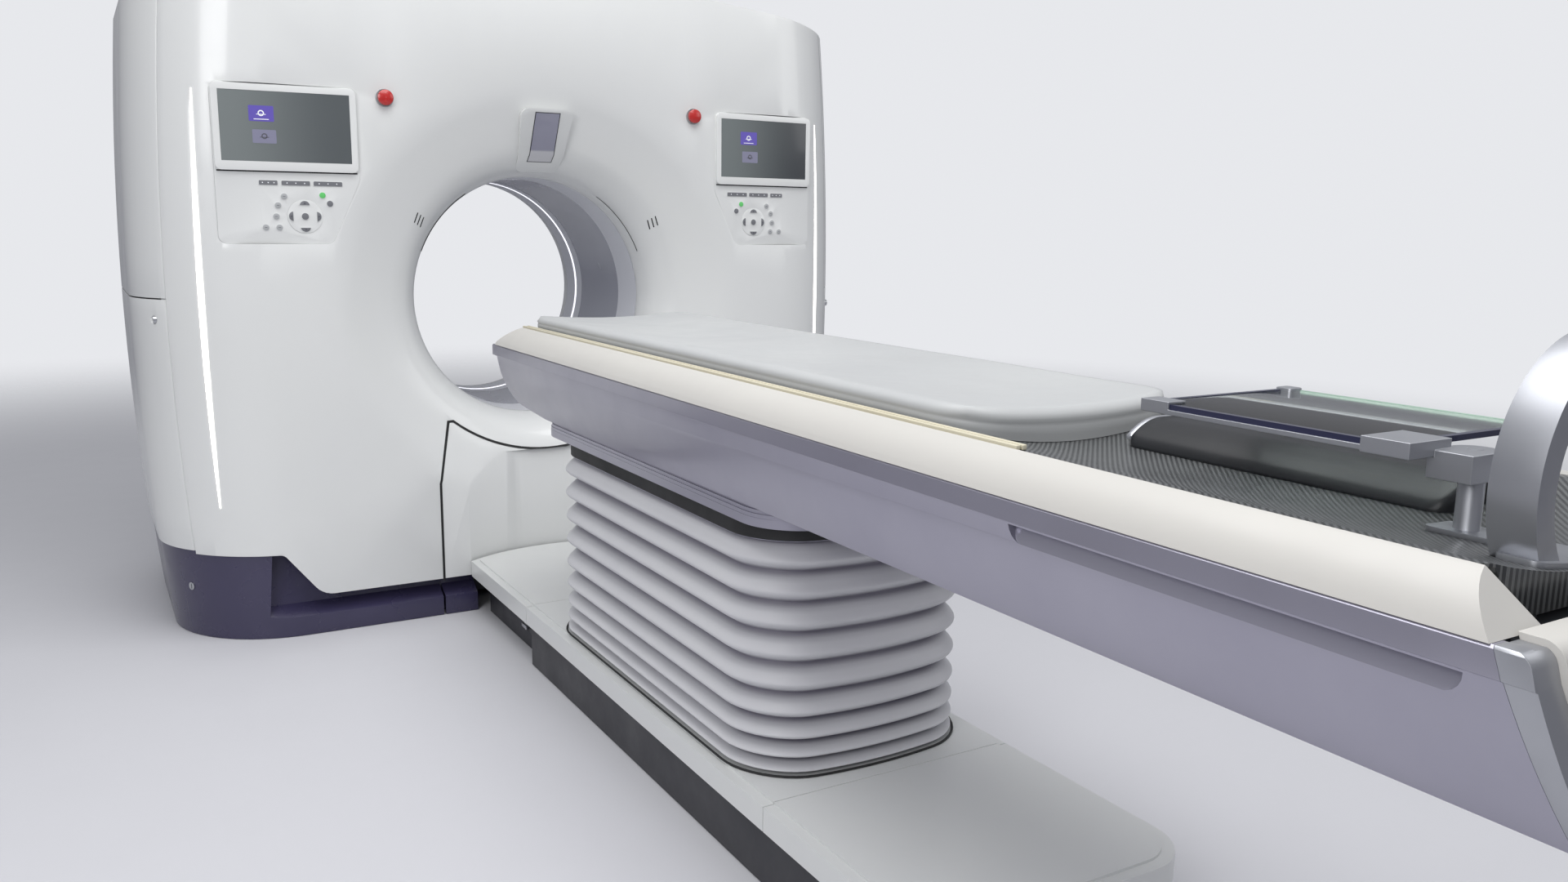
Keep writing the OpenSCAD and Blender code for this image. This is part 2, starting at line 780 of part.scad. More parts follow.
module gantry_frame() color(steel) {
    difference() {
        union() {
            for (y = [-anchor_y, anchor_y]) translate([-beam_end, y - beam_half_w, beam_low])
                cube([2 * beam_end, 2 * beam_half_w, beam_top - beam_low]);
            for (x = [-anchor_x, anchor_x]) {
                translate([x - beam_half_w, -anchor_y, beam_low])
                    cube([2 * beam_half_w, 2 * anchor_y, beam_top - beam_low]);
                for (y = [-anchor_y, anchor_y]) translate([x - anchor_pad.x / 2, y - anchor_pad.y / 2, 0])
                    cube(anchor_pad);
            }
            for (s = [-1, 1]) bracket(s);
        }
        for (x = [-anchor_x, anchor_x], y = [-anchor_y, anchor_y]) translate([x, y, -5]) {
            cylinder(r = anchor_hole_r, h = 200, $fn = 48);
            translate([0, 0, 35]) cylinder(r = 28, h = 200, $fn = 48);
        }
    }
    along_y(stand_y, stand_y + stand_t) difference() {
        union() {
            translate([0, iso_h]) circle(rotor_r + 40, $fn = 240);
            polygon(with_mirror([[beam_end - 20, beam_top - 10], [rotor_r - 100, iso_h]]));
        }
        translate([0, iso_h]) circle(bearing_r + 12, $fn = 240);
        for (a = [20:40:360]) translate([0, iso_h]) rotate(a) translate([bearing_r + 165, 0])
            circle(70, $fn = 48);
    }
    for (x = [20 - beam_end, beam_end - 20 - rib_t]) along_x(x, x + rib_t) stand_rib();
}

module stand_rib() polygon([[stand_y + 1, beam_top - 1], [stand_y + 1, 420], [-anchor_y + 40, beam_top - 1]]);

module bracket(side) mirror([side < 0 ? 1 : 0, 0, 0]) translate([anchor_x, -40, beam_low + 10])
    cube([side_x(beam_low + 10, plinth_inset + plinth_t) - lap_clear - anchor_x, 80, 50]);

module main_bearing() color(steel) bore_ring(bearing_r + shaft_clear, bearing_r + 60,
    stand_y - 55, stand_y);

module drive_stator() color("#7c5a3a") difference() {
    bore_ring(rotor_r + 3, rotor_r + 30, stand_y - 105, stand_y);
    for (a = [0:10:350]) translate([0, 0, iso_h]) rotate([0, a, 0])
        translate([rotor_r + 26, stand_y - 110, -25]) cube([20, 70, 50]);
}

module brush_block() color(dark) translate([0, 0, iso_h]) rotate([0, 60, 0]) {
    translate([slip_r - 50, stand_y + stand_t, -45]) cube([bearing_r + 90 - slip_r + 50, 50, 90]);
    for (i = [0:3]) translate([slip_r - 60 + i * 16, slip_y + slip_t + run_clear, -30])
        cube([8, stand_y + stand_t - slip_y - slip_t, 60]);
}

// Rotor
plate_y = stand_y - 110;
plate_t = 50;
slip_r = 505;
slip_y = plate_y + plate_t;
slip_t = 50;
unit_front = 60 - plate_y;

module rotor_plate() color("#9aa0a6") difference() {
    bore_ring(bore_r + 40, rotor_r, plate_y, plate_y + plate_t);
    for (a = [15:30:345]) translate([0, plate_y + 20, iso_h]) rotate([0, a, 0])
        translate([rotor_r - 60, 0, 0]) rotate([-90, 0, 0]) cylinder(r = 30, h = 100, $fn = 32);
}

module bearing_inner_ring() color(steel) bore_ring(slip_r + 12, bearing_r, plate_y + plate_t,
    stand_y - 8);

module slip_ring() color("#b08d3c") difference() {
    bore_ring(bore_r + 45, slip_r, slip_y, slip_y + slip_t);
    for (i = [0:3]) bore_ring(slip_r - 34 + i * 16 - 16, slip_r - 30 + i * 16 - 16,
        slip_y + slip_t - 4, slip_y + slip_t + 5);
}

module xray_tube() color(silver) translate([0, 0, iso_h + focus_r + 74]) rotate([-90, 0, 0]) {
    translate([0, 0, unit_front]) cylinder(r = 100, h = plate_y - unit_front, $fn = 96);
    translate([0, 0, unit_front - 40]) cylinder(r = 70, h = 41, $fn = 64);
    translate([-60, -10, -60]) cube([120, 100, 120]);
    for (x = [-1, 1]) translate([x * 110, -20, unit_front + 60]) rotate([0, x * 90, 0])
        translate([0, 0, -30]) cylinder(r = 32, h = 90, $fn = 48);
}

module collimator() color("#6f747b") difference() {
    translate([-110, -80, iso_h + 500]) cube([220, plate_y + 80, focus_r + 74 - 100 - 500]);
    translate([-70, -50, iso_h + 480]) cube([140, 100, 200]);
}

module detector() color("#4d5560") intersection() {
    translate([0, 0, iso_h + focus_r]) rotate([-90, 0, 0]) rotate([0, 0, 90 - fan_half])
        rotate_extrude(angle = 2 * fan_half, $fn = 360) union() {
            translate([detector_r, -detector_w / 2]) square([60, detector_w]);
            translate([detector_r + 20, detector_w / 2 - 1]) square([40, plate_y - detector_w / 2 + 1]);
        }
}

module rotor_unit(x0, x1, half_h) difference() {
    translate([x0, unit_front, iso_h - half_h]) cube([x1 - x0, plate_y - unit_front, 2 * half_h]);
    for (i = [-4:4]) translate([x0 - 5, unit_front - 1, iso_h + i * half_h / 5 - 6])
        cube([x1 - x0 + 10, 16, 12]);
}

module high_voltage_generator() color("#5f6770") rotor_unit(-rotor_r + 80, -rotor_r + 310, 210);

module heat_exchanger() color("#70808c") rotor_unit(rotor_r - 310, rotor_r - 80, 190);

// Table base
tie_half = 90;
box_y = 31 - front_y;
box_len = 540;
box_foot = box_y + box_len;
base_wall = 5;
cover_low = base_h - skirt_h;
step_in = 24;
step_h = 5;
under_cover = base_h - 10;
plinth_in = 12;
plinth_wall = 6;
lift_open_w = 440;
lift_open_l = 920;
base_seams = [box_foot - 7, 2555];

// The base in plan: round at the far end, and following the gantry's recess at the near end
module base_plan(grow) {
    half = base_w / 2 + grow;
    r = base_corner_r + grow;
    difference() {
        union() {
            translate([-half, r - base_foot - grow]) square([2 * half, base_foot + grow - r]);
            translate([r - half, -base_foot - grow]) square([2 * (half - r), base_foot]);
            for (x = [r - half, half - r]) translate([x, r - base_foot - grow]) circle(r, $fn = 96);
        }
        difference() {
            translate([-far / 2, niche_y + niche_r / 3]) square(far);
            translate([0, niche_y]) circle(niche_r - niche_gap + grow, $fn = 240);
        }
    }
}

module lift_opening(z0, z1) translate([0, -lift_y, z0]) linear_extrude(z1 - z0)
    round_rect(lift_open_w, lift_open_l, 30);

module table_base_cover() color(white) difference() {
    union() {
        translate([0, 0, cover_low]) linear_extrude(skirt_h - step_h) base_plan(0);
        translate([0, 0, under_cover + 1]) linear_extrude(base_h - under_cover - 1) base_plan(-step_in);
    }
    translate([0, 0, cover_low - 1]) linear_extrude(under_cover - cover_low + 1) base_plan(-base_wall);
    lift_opening(0, 2 * base_h);
    for (y = base_seams) difference() {
        translate([-far / 2, -y - 1.5, cover_low - 1]) cube([far, 3, base_h]);
        linear_extrude(base_h - step_h - 2) base_plan(-2);
        linear_extrude(base_h - 2) base_plan(-step_in - 2);
    }
}

module behind_box(gap) translate([-far / 2, -box_foot - gap - far]) square(far);

module tie_slot() translate([-tie_half - 8, -far, -5]) cube([2 * tie_half + 16, far, 40]);

module table_base_plinth() color(dark) difference() {
    linear_extrude(under_cover - lap_clear) difference() {
        intersection() {
            base_plan(-plinth_in);
            behind_box(lap_clear);
        }
        intersection() {
            base_plan(-plinth_in - plinth_wall);
            behind_box(lap_clear + plinth_wall);
        }
    }
    intersection() {
        tie_slot();
        translate([-far / 2, -box_foot - 50, -10]) cube([far, 100, 100]);
    }
}

latch_r = 9;
latch_y = box_y + 379;
latch_z = 66;

module base_front_box() color(dark) difference() {
    translate([-box_half, -box_foot, 0]) cube([2 * box_half, box_len, under_cover - lap_clear]);
    translate([plinth_wall - box_half, -box_foot - 1, -1])
        cube([2 * (box_half - plinth_wall), box_len + 1 - plinth_wall, under_cover - plinth_wall]);
    tie_slot();
    latch_place() translate([0, 0, -20]) cylinder(r = latch_r + shaft_clear, h = 60, $fn = 48);
}

module latch_place() translate([-box_half, -latch_y, latch_z]) rotate([0, -90, 0]) children();

module base_latch() color(silver) latch_place() {
    translate([0, 0, -14]) cylinder(r = latch_r, h = 18, $fn = 48);
    translate([0, 0, 0.3]) cylinder(r = 14, h = 6, $fn = 48);
    translate([-5, -30, 5]) cube([10, 44, 8]);
    translate([-28, -5, -14]) cube([36, 10, 4]);
}

table_anchor_x = 190;
table_anchor_l = 1500;
table_plate_t = 16;
table_plate_half = 240;
table_plate_l = 1800;
table_anchor_y = 2100;
tie_low = 4;
tie_t = table_plate_t - tie_low;
tie_lug_h = 30;

module table_base_frame() color(steel) difference() {
    union() {
        translate([-table_plate_half, -table_anchor_y - table_plate_l / 2, 0])
            cube([2 * table_plate_half, table_plate_l, table_plate_t]);
        translate([-tie_half, -table_anchor_y, tie_low])
            cube([2 * tie_half, table_anchor_y - anchor_y - beam_half_w, tie_t]);
        translate([-tie_half, -anchor_y - beam_half_w - tie_t, tie_low])
            cube([2 * tie_half, tie_t, tie_lug_h]);
        for (x = [-table_plate_half, table_plate_half - 8])
            translate([x, -table_anchor_y - table_plate_l / 2, 0]) cube([8, table_plate_l, 90]);
        for (x = [-1, 1], y = [-1, 1])
            translate([x * 256 - 24, -table_anchor_y + y * 700 - 20, 30])
                cube([48, 40, under_cover - lap_clear - 30]);
    }
    for (x = [-1, 1], y = [-1, 1])
        translate([x * table_anchor_x, -table_anchor_y + y * table_anchor_l / 2, -5])
            cylinder(r = 9, h = 60, $fn = 48);
}

// Lift: two telescopic columns side by side along the table
outer_top = 430;
middle_low = 240;
middle_top = 645;
inner_low = 450;
carriage_h = 860;
column_l = column_w - 20;
column_r = 20;
foot_plate = [300, 220, 12];
stage = column_t + run_clear;

// A column stage in plan: its outside drawn in by an amount
module stage_plan(shrink) round_rect(column_w - 2 * shrink, column_l - 2 * shrink, column_r - shrink / 2);

module column_tube(shrink, z0, z1) for (y = [-1, 1]) translate([0, -lift_y + y * column_pitch / 2, z0])
    linear_extrude(z1 - z0) difference() {
        stage_plan(shrink);
        stage_plan(shrink + column_t);
    }

module outer_columns() color(pale_grey) {
    column_tube(0, table_plate_t, outer_top);
    for (y = [-1, 1]) translate([0, -lift_y + y * column_pitch / 2, table_plate_t])
        linear_extrude(foot_plate.z) difference() {
            square([foot_plate.x, foot_plate.y], center = true);
            stage_plan(1);
        }
}

module middle_columns() color(silver) column_tube(stage, middle_low, middle_top);

module inner_columns() color(steel) column_tube(2 * stage, inner_low, carriage_h);

// Bellows: a thin skin whose rings swell out and draw in, fold by fold
bellows_low = base_h + lap_clear;
bellows_top = 665;
bellows_t = 3;
bellows_r = 130;
bellows_bow = 40;
ring_side = 5;

// One end of a ring in plan: two corners and the bowed end between them
function bellows_end(grow) =
    let (hw = bellows_w / 2 - fold_d + grow, r = bellows_r - fold_d + grow,
         hl = bellows_len / 2 - bellows_bow - fold_d + grow,
         flat = concat(
             [for (i = [0:ring_side]) let (a = i * 90 / ring_side)
                 [hw - r + r * cos(a), hl - r + r * sin(a)]],
             [for (i = [1:3]) [(hw - r) * (1 - i / 2), hl]],
             [for (i = [0:ring_side]) let (a = 90 + i * 90 / ring_side)
                 [r - hw + r * cos(a), hl - r + r * sin(a)]]))
    [for (p = flat) [p.x, p.y + bellows_bow * (1 - pow(p.x / hw, 2))]];

function bellows_ring(grow, z) = [for (s = [1, -1]) each
    [for (p = bellows_end(grow)) [s * p.x, s * p.y - lift_y, z]]];

// The folds hang closer together towards the floor
fold_least = 0.45;
fold_more = 0.14;
function fold_share(i) = min(1, fold_least + fold_more * i);
function shares_below(i) = i == 0 ? 0 : shares_below(i - 1) + fold_share(i - 1);
fold_unit = (bellows_top - bellows_low) / shares_below(folds);

// One fold from groove to groove: rounded out to its lip, then hollow up to the next groove
fold_at = [0, 0.22, 0.42, 0.7];
fold_swell = [0, 0.72, 1, 0.38];
levels = 4 * folds + 1;
function level_grow(k) = fold_d * fold_swell[k % 4];
function level_z(k) = let (i = floor(k / 4))
    bellows_low + fold_unit * (shares_below(i) + fold_share(i) * fold_at[k % 4]);

module bellows() color(pale_grey) {
    n = len(bellows_ring(0, 0));
    outside = [for (k = [0:levels - 1]) each bellows_ring(level_grow(k), level_z(k))];
    inside = [for (k = [0:levels - 1]) each bellows_ring(level_grow(k) - bellows_t, level_z(k))];
    m = n * levels;
    polyhedron(points = concat(outside, inside), faces = concat(
        [for (k = [0:levels - 2], i = [0:n - 1])
            [k * n + i, (k + 1) * n + i, (k + 1) * n + (i + 1) % n, k * n + (i + 1) % n]],
        [for (k = [0:levels - 2], i = [0:n - 1])
            [m + k * n + i, m + k * n + (i + 1) % n, m + (k + 1) * n + (i + 1) % n, m + (k + 1) * n + i]],
        [for (i = [0:n - 1]) [i, (i + 1) % n, m + (i + 1) % n, m + i]],
        [for (i = [0:n - 1]) [m - n + i, 2 * m - n + i, 2 * m - n + (i + 1) % n, m - n + (i + 1) % n]]));
}

// A rounded rectangle whose upper edge rolls over in fine steps
roll_steps = 8;

module rolled_slab(w, l, r, h, e) for (k = [0:roll_steps]) {
    turn = 90 * k / roll_steps;
    in = e * (1 - cos(turn));
    linear_extrude(h - e + e * sin(turn)) round_rect(w - 2 * in, l - 2 * in, r - in);
}

collar_neck = 35;
collar_w = 540;
collar_head_over = 90;
collar_foot_over = 20;
collar_h = 93;
collar_roll = 40;

module bellows_collar() color(silver) difference() {
    union() {
        translate([0, 0, bellows_top + lap_clear]) linear_extrude(collar_neck + 1)
            polygon([for (p = bellows_ring(6, 0)) [p.x, p.y]]);
        translate([0, (collar_head_over - collar_foot_over) / 2 - lift_y,
            bellows_top + lap_clear + collar_neck])
            rolled_slab(collar_w, bellows_len + collar_head_over + collar_foot_over, bellows_r,
                collar_h - collar_neck, collar_roll);
    }
    lift_opening(bellows_top - 10, body_low_h + 60);
    along_y(-body_foot, -body_y) polygon(with_mirror(body_half_outline(-lap_clear, band_h)));
}

// Table body: a trough with a proud band along its upper edge
body_foot = body_y + body_len;
nose_r = 95;
nose_rise = 24;
nose_run = 260;
band_proud = 3;
band_t = 22;
band_lead = 30;
side_bulge = 7;
foot_lean = 0.35;

// Points along a shallow arc from a to b that bulges to the right of the line by sag
function bulged(a, b, sag, n = 7) = let (d = b - a, side = [d.y, -d.x] / norm(d))
    [for (i = [0:n]) let (t = i / n) a + t * d + 4 * sag * t * (1 - t) * side];

function body_half_outline(inset, top) = concat(
    bulged([body_low_half - inset, body_low_h + inset],
        [body_half - band_proud - inset, band_low_h], side_bulge),
    [[body_half - band_proud - inset, top]]);

// Where the leaning foot end lies at a height
function foot_line(z, out) = -body_foot - out - (band_h - z) * foot_lean;

module band_plan() for (s = [0, 1]) mirror([s, 0]) polygon([[body_half, band_h - 3],
    [body_half - 3, band_h], [body_half - band_t, band_h], [body_half - band_t, band_low_h - 4],
    [body_half - 8, band_low_h - 4], [body_half, band_low_h]]);

module body_side(inset, top, foot) polygon(rounded([[-body_y - inset, top],
    [-body_y - inset, body_low_h + inset + nose_rise], [-body_y - nose_run, body_low_h + inset],
    [foot_line(body_low_h + inset, foot), body_low_h + inset], [foot_line(top, foot), top]],
    [0, nose_r - inset, 0, 0, 0]));

// The grip recess along the sides at the foot end
grip_y = 3240;
grip_len = 620;
grip_low_h = 866;

module grip(grow) for (s = [0, 1]) mirror([s, 0, 0]) intersection() {
    along_y(-grip_y - grip_len - grow, -grip_y + grow) polygon([[body_half + 9, band_low_h - 3],
        [body_half - 20 - grow, band_low_h - 6], [body_half - 8 - grow, grip_low_h - grow],
        [body_half + 9, grip_low_h - grow]]);
    along_x(0, body_half + 20) polygon(rounded([[grow - grip_y, grip_low_h - grow],
        [grow - grip_y, band_h], [-grip_y - grip_len - grow, band_h],
        [-grip_y - grip_len - grow, grip_low_h - grow]], [24, 0, 0, 24]));
}

module body_solid(inset, top, foot) intersection() {
    along_y(-body_foot - 300, -body_y + 1) polygon(with_mirror(body_half_outline(inset, top)));
    along_x(-far / 2, far / 2) body_side(inset, top, foot);
}

module table_body() color(silver) difference() {
    union() {
        difference() {
            body_solid(0, band_h - 1, 0);
            body_solid(body_t, band_h + 20, 200);
        }
        intersection() {
            grip(body_t);
            body_solid(1, band_h - 2, -1);
        }
        intersection() {
            along_y(-body_foot - 20, -body_y + band_lead) band_plan();
            along_x(-far / 2, far / 2) polygon([[-body_y + band_lead + 1, band_h + 5],
                [-body_y + band_lead + 1, band_low_h - 10], [foot_line(band_low_h - 10, 0), band_low_h - 10],
                [foot_line(band_h + 5, 0), band_h + 5]]);
        }
    }
    grip(0);
    translate([-rail_half, -body_y - 100, cradle_low_h - 30]) cube([2 * rail_half, 200, 100]);
    lift_opening(body_low_h - 10, body_low_h + 20);
}

// White top rails: hollow, with a curved outer face and bevelled ends
rail_foot_half = 236;
rail_lean = (rail_half - rail_foot_half) / (rail_h - band_h);
rail_sag = 9;
rail_head_bevel = 100;
rail_foot_bevel = 46;

// Half the width between the rails' leaning inner walls at a height
function rail_wall(z) = rail_half - (rail_h - z) * rail_lean;

module rail_plan(inset) {
    chord = norm([body_half - rail_half, rail_h - band_h]);
    r = (chord * chord / 4 + rail_sag * rail_sag) / (2 * rail_sag);
    c = circles_meet([body_half, band_h], r, [rail_half, rail_h], r);
    low = band_h + lap_clear - inset;
    side = inset * norm([1, rail_lean]);
    intersection() {
        translate(c) circle(r - inset, $fn = 240);
        polygon([[rail_wall(low) + side, low], [rail_wall(rail_h + 20) + side, rail_h + 20],
            [body_half + 20, rail_h + 20], [body_half + 20, low]]);
    }
}

module rail_side(inset) polygon(rounded([[-body_y + 5 - 1.5 * inset, band_h - 20],
    [-body_y + 5 - 1.5 * inset, band_h + 8], [-body_y + 5 - rail_head_bevel, rail_h + 4 - inset],
    [-body_foot + rail_foot_bevel, rail_h + 4 - inset], [-body_foot + 2 + 1.5 * inset, band_h - 1]],
    [0, 10, 60, 14, 0]));

module top_rails() color(white) for (s = [0, 1]) mirror([s, 0, 0]) difference() {
    intersection() {
        along_y(-body_foot, -body_y + band_lead) rail_plan(0);
        along_x(0, far) rail_side(0);
    }
    intersection() {
        along_y(-body_foot, -body_y + band_lead) rail_plan(body_t);
        along_x(0, far) rail_side(body_t);
    }
}

beam_h = 35;
beam_half = 180;
guide_x = 150;
guide_w = 24;
guide_h = 14;
roller_y = body_y + 42;
beam_foot = body_foot - 60;
beam_l = beam_foot - roller_y - roller_r - 6;
roller_z = cradle_low_h - run_clear - roller_r;
roller_half = 200;
axle_r = 8;
axle_half = 226;

module table_beam() color("#7f858c") difference() {
    union() {
        translate([-beam_half, -beam_foot, carriage_h]) cube([2 * beam_half, beam_l, beam_h]);
        for (x = [-1, 1]) {
            translate([x * guide_x - guide_w / 2, -beam_foot, carriage_h + beam_h - 1])
                cube([guide_w, beam_l, guide_h + 1]);
            translate([x * 215 - 12, -roller_y - 34, carriage_h]) cube([24, 60, roller_z + 12 - carriage_h]);
            translate([x * 200 - 28, -roller_y - 60, carriage_h]) cube([56, 34, 20]);
            for (y = [-1, 1]) translate([x * 218 - 42, -lift_y + y * 540 - 30, body_low_h + body_t])
                cube([84, 60, carriage_h + 10 - body_low_h - body_t]);
        }
    }
    translate([-300, -roller_y, roller_z]) rotate([0, 90, 0])
        cylinder(r = axle_r + shaft_clear, h = 600, $fn = 48);
}

module cradle_roller() color(dark) translate([0, -roller_y, roller_z]) rotate([0, 90, 0]) {
    translate([0, 0, -roller_half]) cylinder(r = roller_r, h = 2 * roller_half, $fn = 64);
    translate([0, 0, -axle_half]) cylinder(r = axle_r, h = 2 * axle_half, $fn = 48);
}

// Foot end: a silver ring that closes the body, and the white cap in it
ring_top = 32;
ring_low = 20;
ring_w = 38;
cap_proud = 6;
cap_t = 4;

module foot_ring() color(silver) difference() {
    intersection() {
        along_y(-body_foot - 300, -body_foot + 10) {
            polygon(with_mirror(body_half_outline(0, band_h - 1)));
            band_plan();
        }
        along_x(-far / 2, far / 2) polygon(rounded([[foot_line(band_h + 1, lap_clear), band_h + 1],
            [foot_line(body_low_h - 1, lap_clear), body_low_h - 1],
            [foot_line(body_low_h - 1, ring_low), body_low_h - 1],
            [-body_foot - ring_top, band_h]], [0, 0, 12, 18]));
    }
    along_y(-body_foot - 400, -body_foot + 50)
        polygon(with_mirror(body_half_outline(ring_w, band_h + 20)));
}

module cap_form(inset) intersection() {
    along_y(-body_foot - 300, -body_foot + 50)
        polygon(with_mirror(body_half_outline(ring_w + lap_clear + inset, band_h + cap_proud - inset)));
    along_x(-far / 2, far / 2) polygon(rounded([
        [foot_line(band_h + cap_proud, lap_clear - 2 * inset), band_h + cap_proud + 1],
        [foot_line(body_low_h, lap_clear - 2 * inset), body_low_h],
        [foot_line(body_low_h, ring_low + cap_proud - inset), body_low_h],
        [-body_foot - ring_top - cap_proud + inset, band_h + cap_proud - inset]], [0, 0, 12, 24 - inset]));
}

module foot_cap() color(white) difference() {
    cap_form(0);
    cap_form(cap_t);
}

// Cradle
cradle_y = 1040;
cradle_foot = cradle_y + cradle_len;
dish_sag = cradle_edge_h - cradle_mid_h;
dish_r = (cradle_half * cradle_half + dish_sag * dish_sag) / (2 * dish_sag);
flange_t = 4;
flange_half = rail_wall(cradle_edge_h - flange_t) - 2 * run_clear;
runner_l = 120;
runner_pitch = 330;

function dish_z(x) = cradle_mid_h + dish_r - sqrt(dish_r * dish_r - x * x);

module dish(grow) translate([0, cradle_mid_h + dish_r]) circle(dish_r - grow, $fn = 720);

module cradle() color("#2b2d30") {
    intersection() {
        along_y(-cradle_foot, -cradle_y) difference() {
            union() {
                polygon(with_mirror([[cradle_half - 32, cradle_low_h], [cradle_half, cradle_edge_h]]));
                translate([-flange_half, cradle_edge_h - flange_t]) square([2 * flange_half, flange_t]);
            }
            dish(0);
        }
        translate([0, -(cradle_y + cradle_foot) / 2, 0]) linear_extrude(far)
            round_rect(2 * rail_half, cradle_len, 50);
    }
    for (x = [-1, 1], i = [0:2])
        translate([x * guide_x, -cradle_foot + runner_l * 1.5 + i * runner_pitch, 0])
            along_y(-runner_l / 2, runner_l / 2) difference() {
                translate([-25, carriage_h + beam_h + 3])
                    square([50, cradle_low_h - carriage_h - beam_h - 2]);
                square([guide_w + 2 * run_clear, 2 * (carriage_h + beam_h + guide_h + run_clear)],
                    center = true);
            }
}

strip_top = 8;
strip_pitch = 12;
strip_half = 4;
strip_line = rail_wall(cradle_edge_h) - 2 * run_clear - strip_half;
strip_lead = 45;
strip_foot = cradle_foot - 650;

module accessory_rails() color("#d9d2bd") for (x = [-1, 1], w = [0, 1])
    translate([x * (strip_line - strip_pitch * w) - strip_half, -strip_foot,
        cradle_edge_h + lap_clear]) cube([2 * strip_half, strip_foot - strip_lead - cradle_y, strip_top]);

mattress_dip = 14;
mattress_dip_r = 2000;

module mattress() color("#c3c5c8") intersection() {
    along_y(-cradle_y - mattress_len, -cradle_y - 10) difference() {
        intersection() {
            dish(lap_clear);
            polygon(with_mirror([[cradle_half, cradle_mid_h], [cradle_half, mattress_h]]));
        }
        translate([0, mattress_h - mattress_dip + mattress_dip_r]) circle(mattress_dip_r, $fn = 720);
    }
    translate([0, -cradle_y - mattress_len / 2 - 5, 0]) linear_extrude(far)
        round_rect(2 * cradle_half - 8, mattress_len - 10, 110);
}

pad_in = 28;
pad_out = 225;
pad_gap = 60;
pad_foot = cradle_foot - 215;
pad_len = pad_foot - (cradle_y + mattress_len + pad_gap);
pad_h = 45;

module foot_pad() color(dark) translate([0, -cradle_y - mattress_len - pad_gap, 0])
    along_y(-pad_len, 0) intersection() {
        dish(lap_clear);
        polygon([[pad_in, cradle_mid_h - 20], [pad_out, cradle_mid_h - 20],
            [pad_out, cradle_mid_h + pad_h], [pad_in + 62, cradle_mid_h + pad_h],
            [pad_in, cradle_mid_h + 8]]);
    }

// Foot end fittings: a hoop handle on the cradle and a glass tray on a swivelling arm
hoop_y = cradle_foot - 42;
hoop_base_half = 156;
post_x = -40;
post_y = cradle_foot - 150;
post_r = 14;
pin_r = 8;
arm_h = 32;
arm_low = tray_h - arm_h - 1;

module hoop_base(x0, x1, y0, y1, r) intersection() {
    along_y(y0, y1) difference() {
        dish(lap_clear);
        dish(lap_clear + 6);
    }
    translate([(x0 + x1) / 2, (y0 + y1) / 2, cradle_low_h]) linear_extrude(200)
        round_rect(x1 - x0, y1 - y0, r);
}

module handle_hoop() color(silver) {
    along_y(-hoop_y - hoop_w / 2, -hoop_y + hoop_w / 2) intersection() {
        difference() {
            translate([0, hoop_h]) circle(hoop_r, $fn = 180);
            translate([0, hoop_h]) circle(hoop_r - hoop_t, $fn = 180);
        }
        dish(lap_clear);
    }
    hoop_base(-hoop_base_half, hoop_base_half, -cradle_foot + 8, -hoop_y + 15, 12);
    hoop_base(post_x - 30, post_x + 30, -hoop_y, -post_y + 35, 12);
    translate([post_x, -post_y, dish_z(post_x) + 3]) {
        cylinder(r = post_r, h = arm_low - lap_clear - dish_z(post_x) - 3, $fn = 48);
        cylinder(r = pin_r, h = tray_h - 4 - dish_z(post_x), $fn = 48);
    }
}

glass_t = 6;
glass_x = -130;
glass_y = -post_y + 40;
clip_wall = 4;

module glass_form(grow) translate([glass_x + tray_w / 2, glass_y + tray_len / 2, tray_h - grow])
    linear_extrude(glass_t + 2 * grow) round_rect(tray_w + 2 * grow, tray_len + 2 * grow, 14);

module tray_arm() color(silver) difference() {
    union() {
        translate([post_x, -post_y, arm_low]) {
            cylinder(r = 27, h = arm_h, $fn = 64);
            translate([-48, -26, 0]) cube([48, 52, arm_h]);
        }
        translate([glass_x - clip_wall, glass_y - 22, tray_h - 9]) cube([78, 60, glass_t + 13]);
        translate([glass_x - clip_wall, glass_y, tray_h - 7]) cube([14, tray_len, 7 - lap_clear]);
        translate([glass_x - clip_wall, glass_y + tray_len - 44, tray_h - 7])
            cube([34, 44 + clip_wall, glass_t + 11]);
    }
    glass_form(lap_clear);
    translate([post_x, -post_y, tray_h - 80]) cylinder(r = pin_r + shaft_clear, h = 120, $fn = 48);
}

module tray_glass() color("#9fb4c4") glass_form(0);

gantry_frame();
main_bearing();
drive_stator();
brush_block();
gantry_plinth();
front_cover();
belly_cover();
belly_seal();
rear_cover();
top_cover();
mirror([1, 0, 0]) upper_side_cover();  // upper_side_cover_left
upper_side_cover();  // upper_side_cover_right
mirror([1, 0, 0]) lower_side_cover();  // lower_side_cover_left
lower_side_cover();  // lower_side_cover_right
bore_liner();
scan_window();
light_ring();
light_strips();
window_housing();
camera_window();
panel_node(-1);  // control_panel_left
panel_node(1);  // control_panel_right
screen_node(-1);  // screen_left
screen_node(1);  // screen_right
cover_locks();
rotor_plate();
bearing_inner_ring();
xray_tube();
collimator();
detector();
high_voltage_generator();
heat_exchanger();
slip_ring();
estop_node(-1);  // estop_left
estop_node(1);  // estop_right
pad_node(-1);  // direction_pad_left
pad_node(1);  // direction_pad_right
table_base_frame();
table_base_plinth();
table_base_cover();
base_front_box();
base_latch();
outer_columns();
middle_columns();
inner_columns();
bellows();
table_beam();
table_body();
bellows_collar();
top_rails();
foot_ring();
foot_cap();
cradle_roller();
cradle();
accessory_rails();
mattress();
foot_pad();
handle_hoop();
tray_arm();
tray_glass();
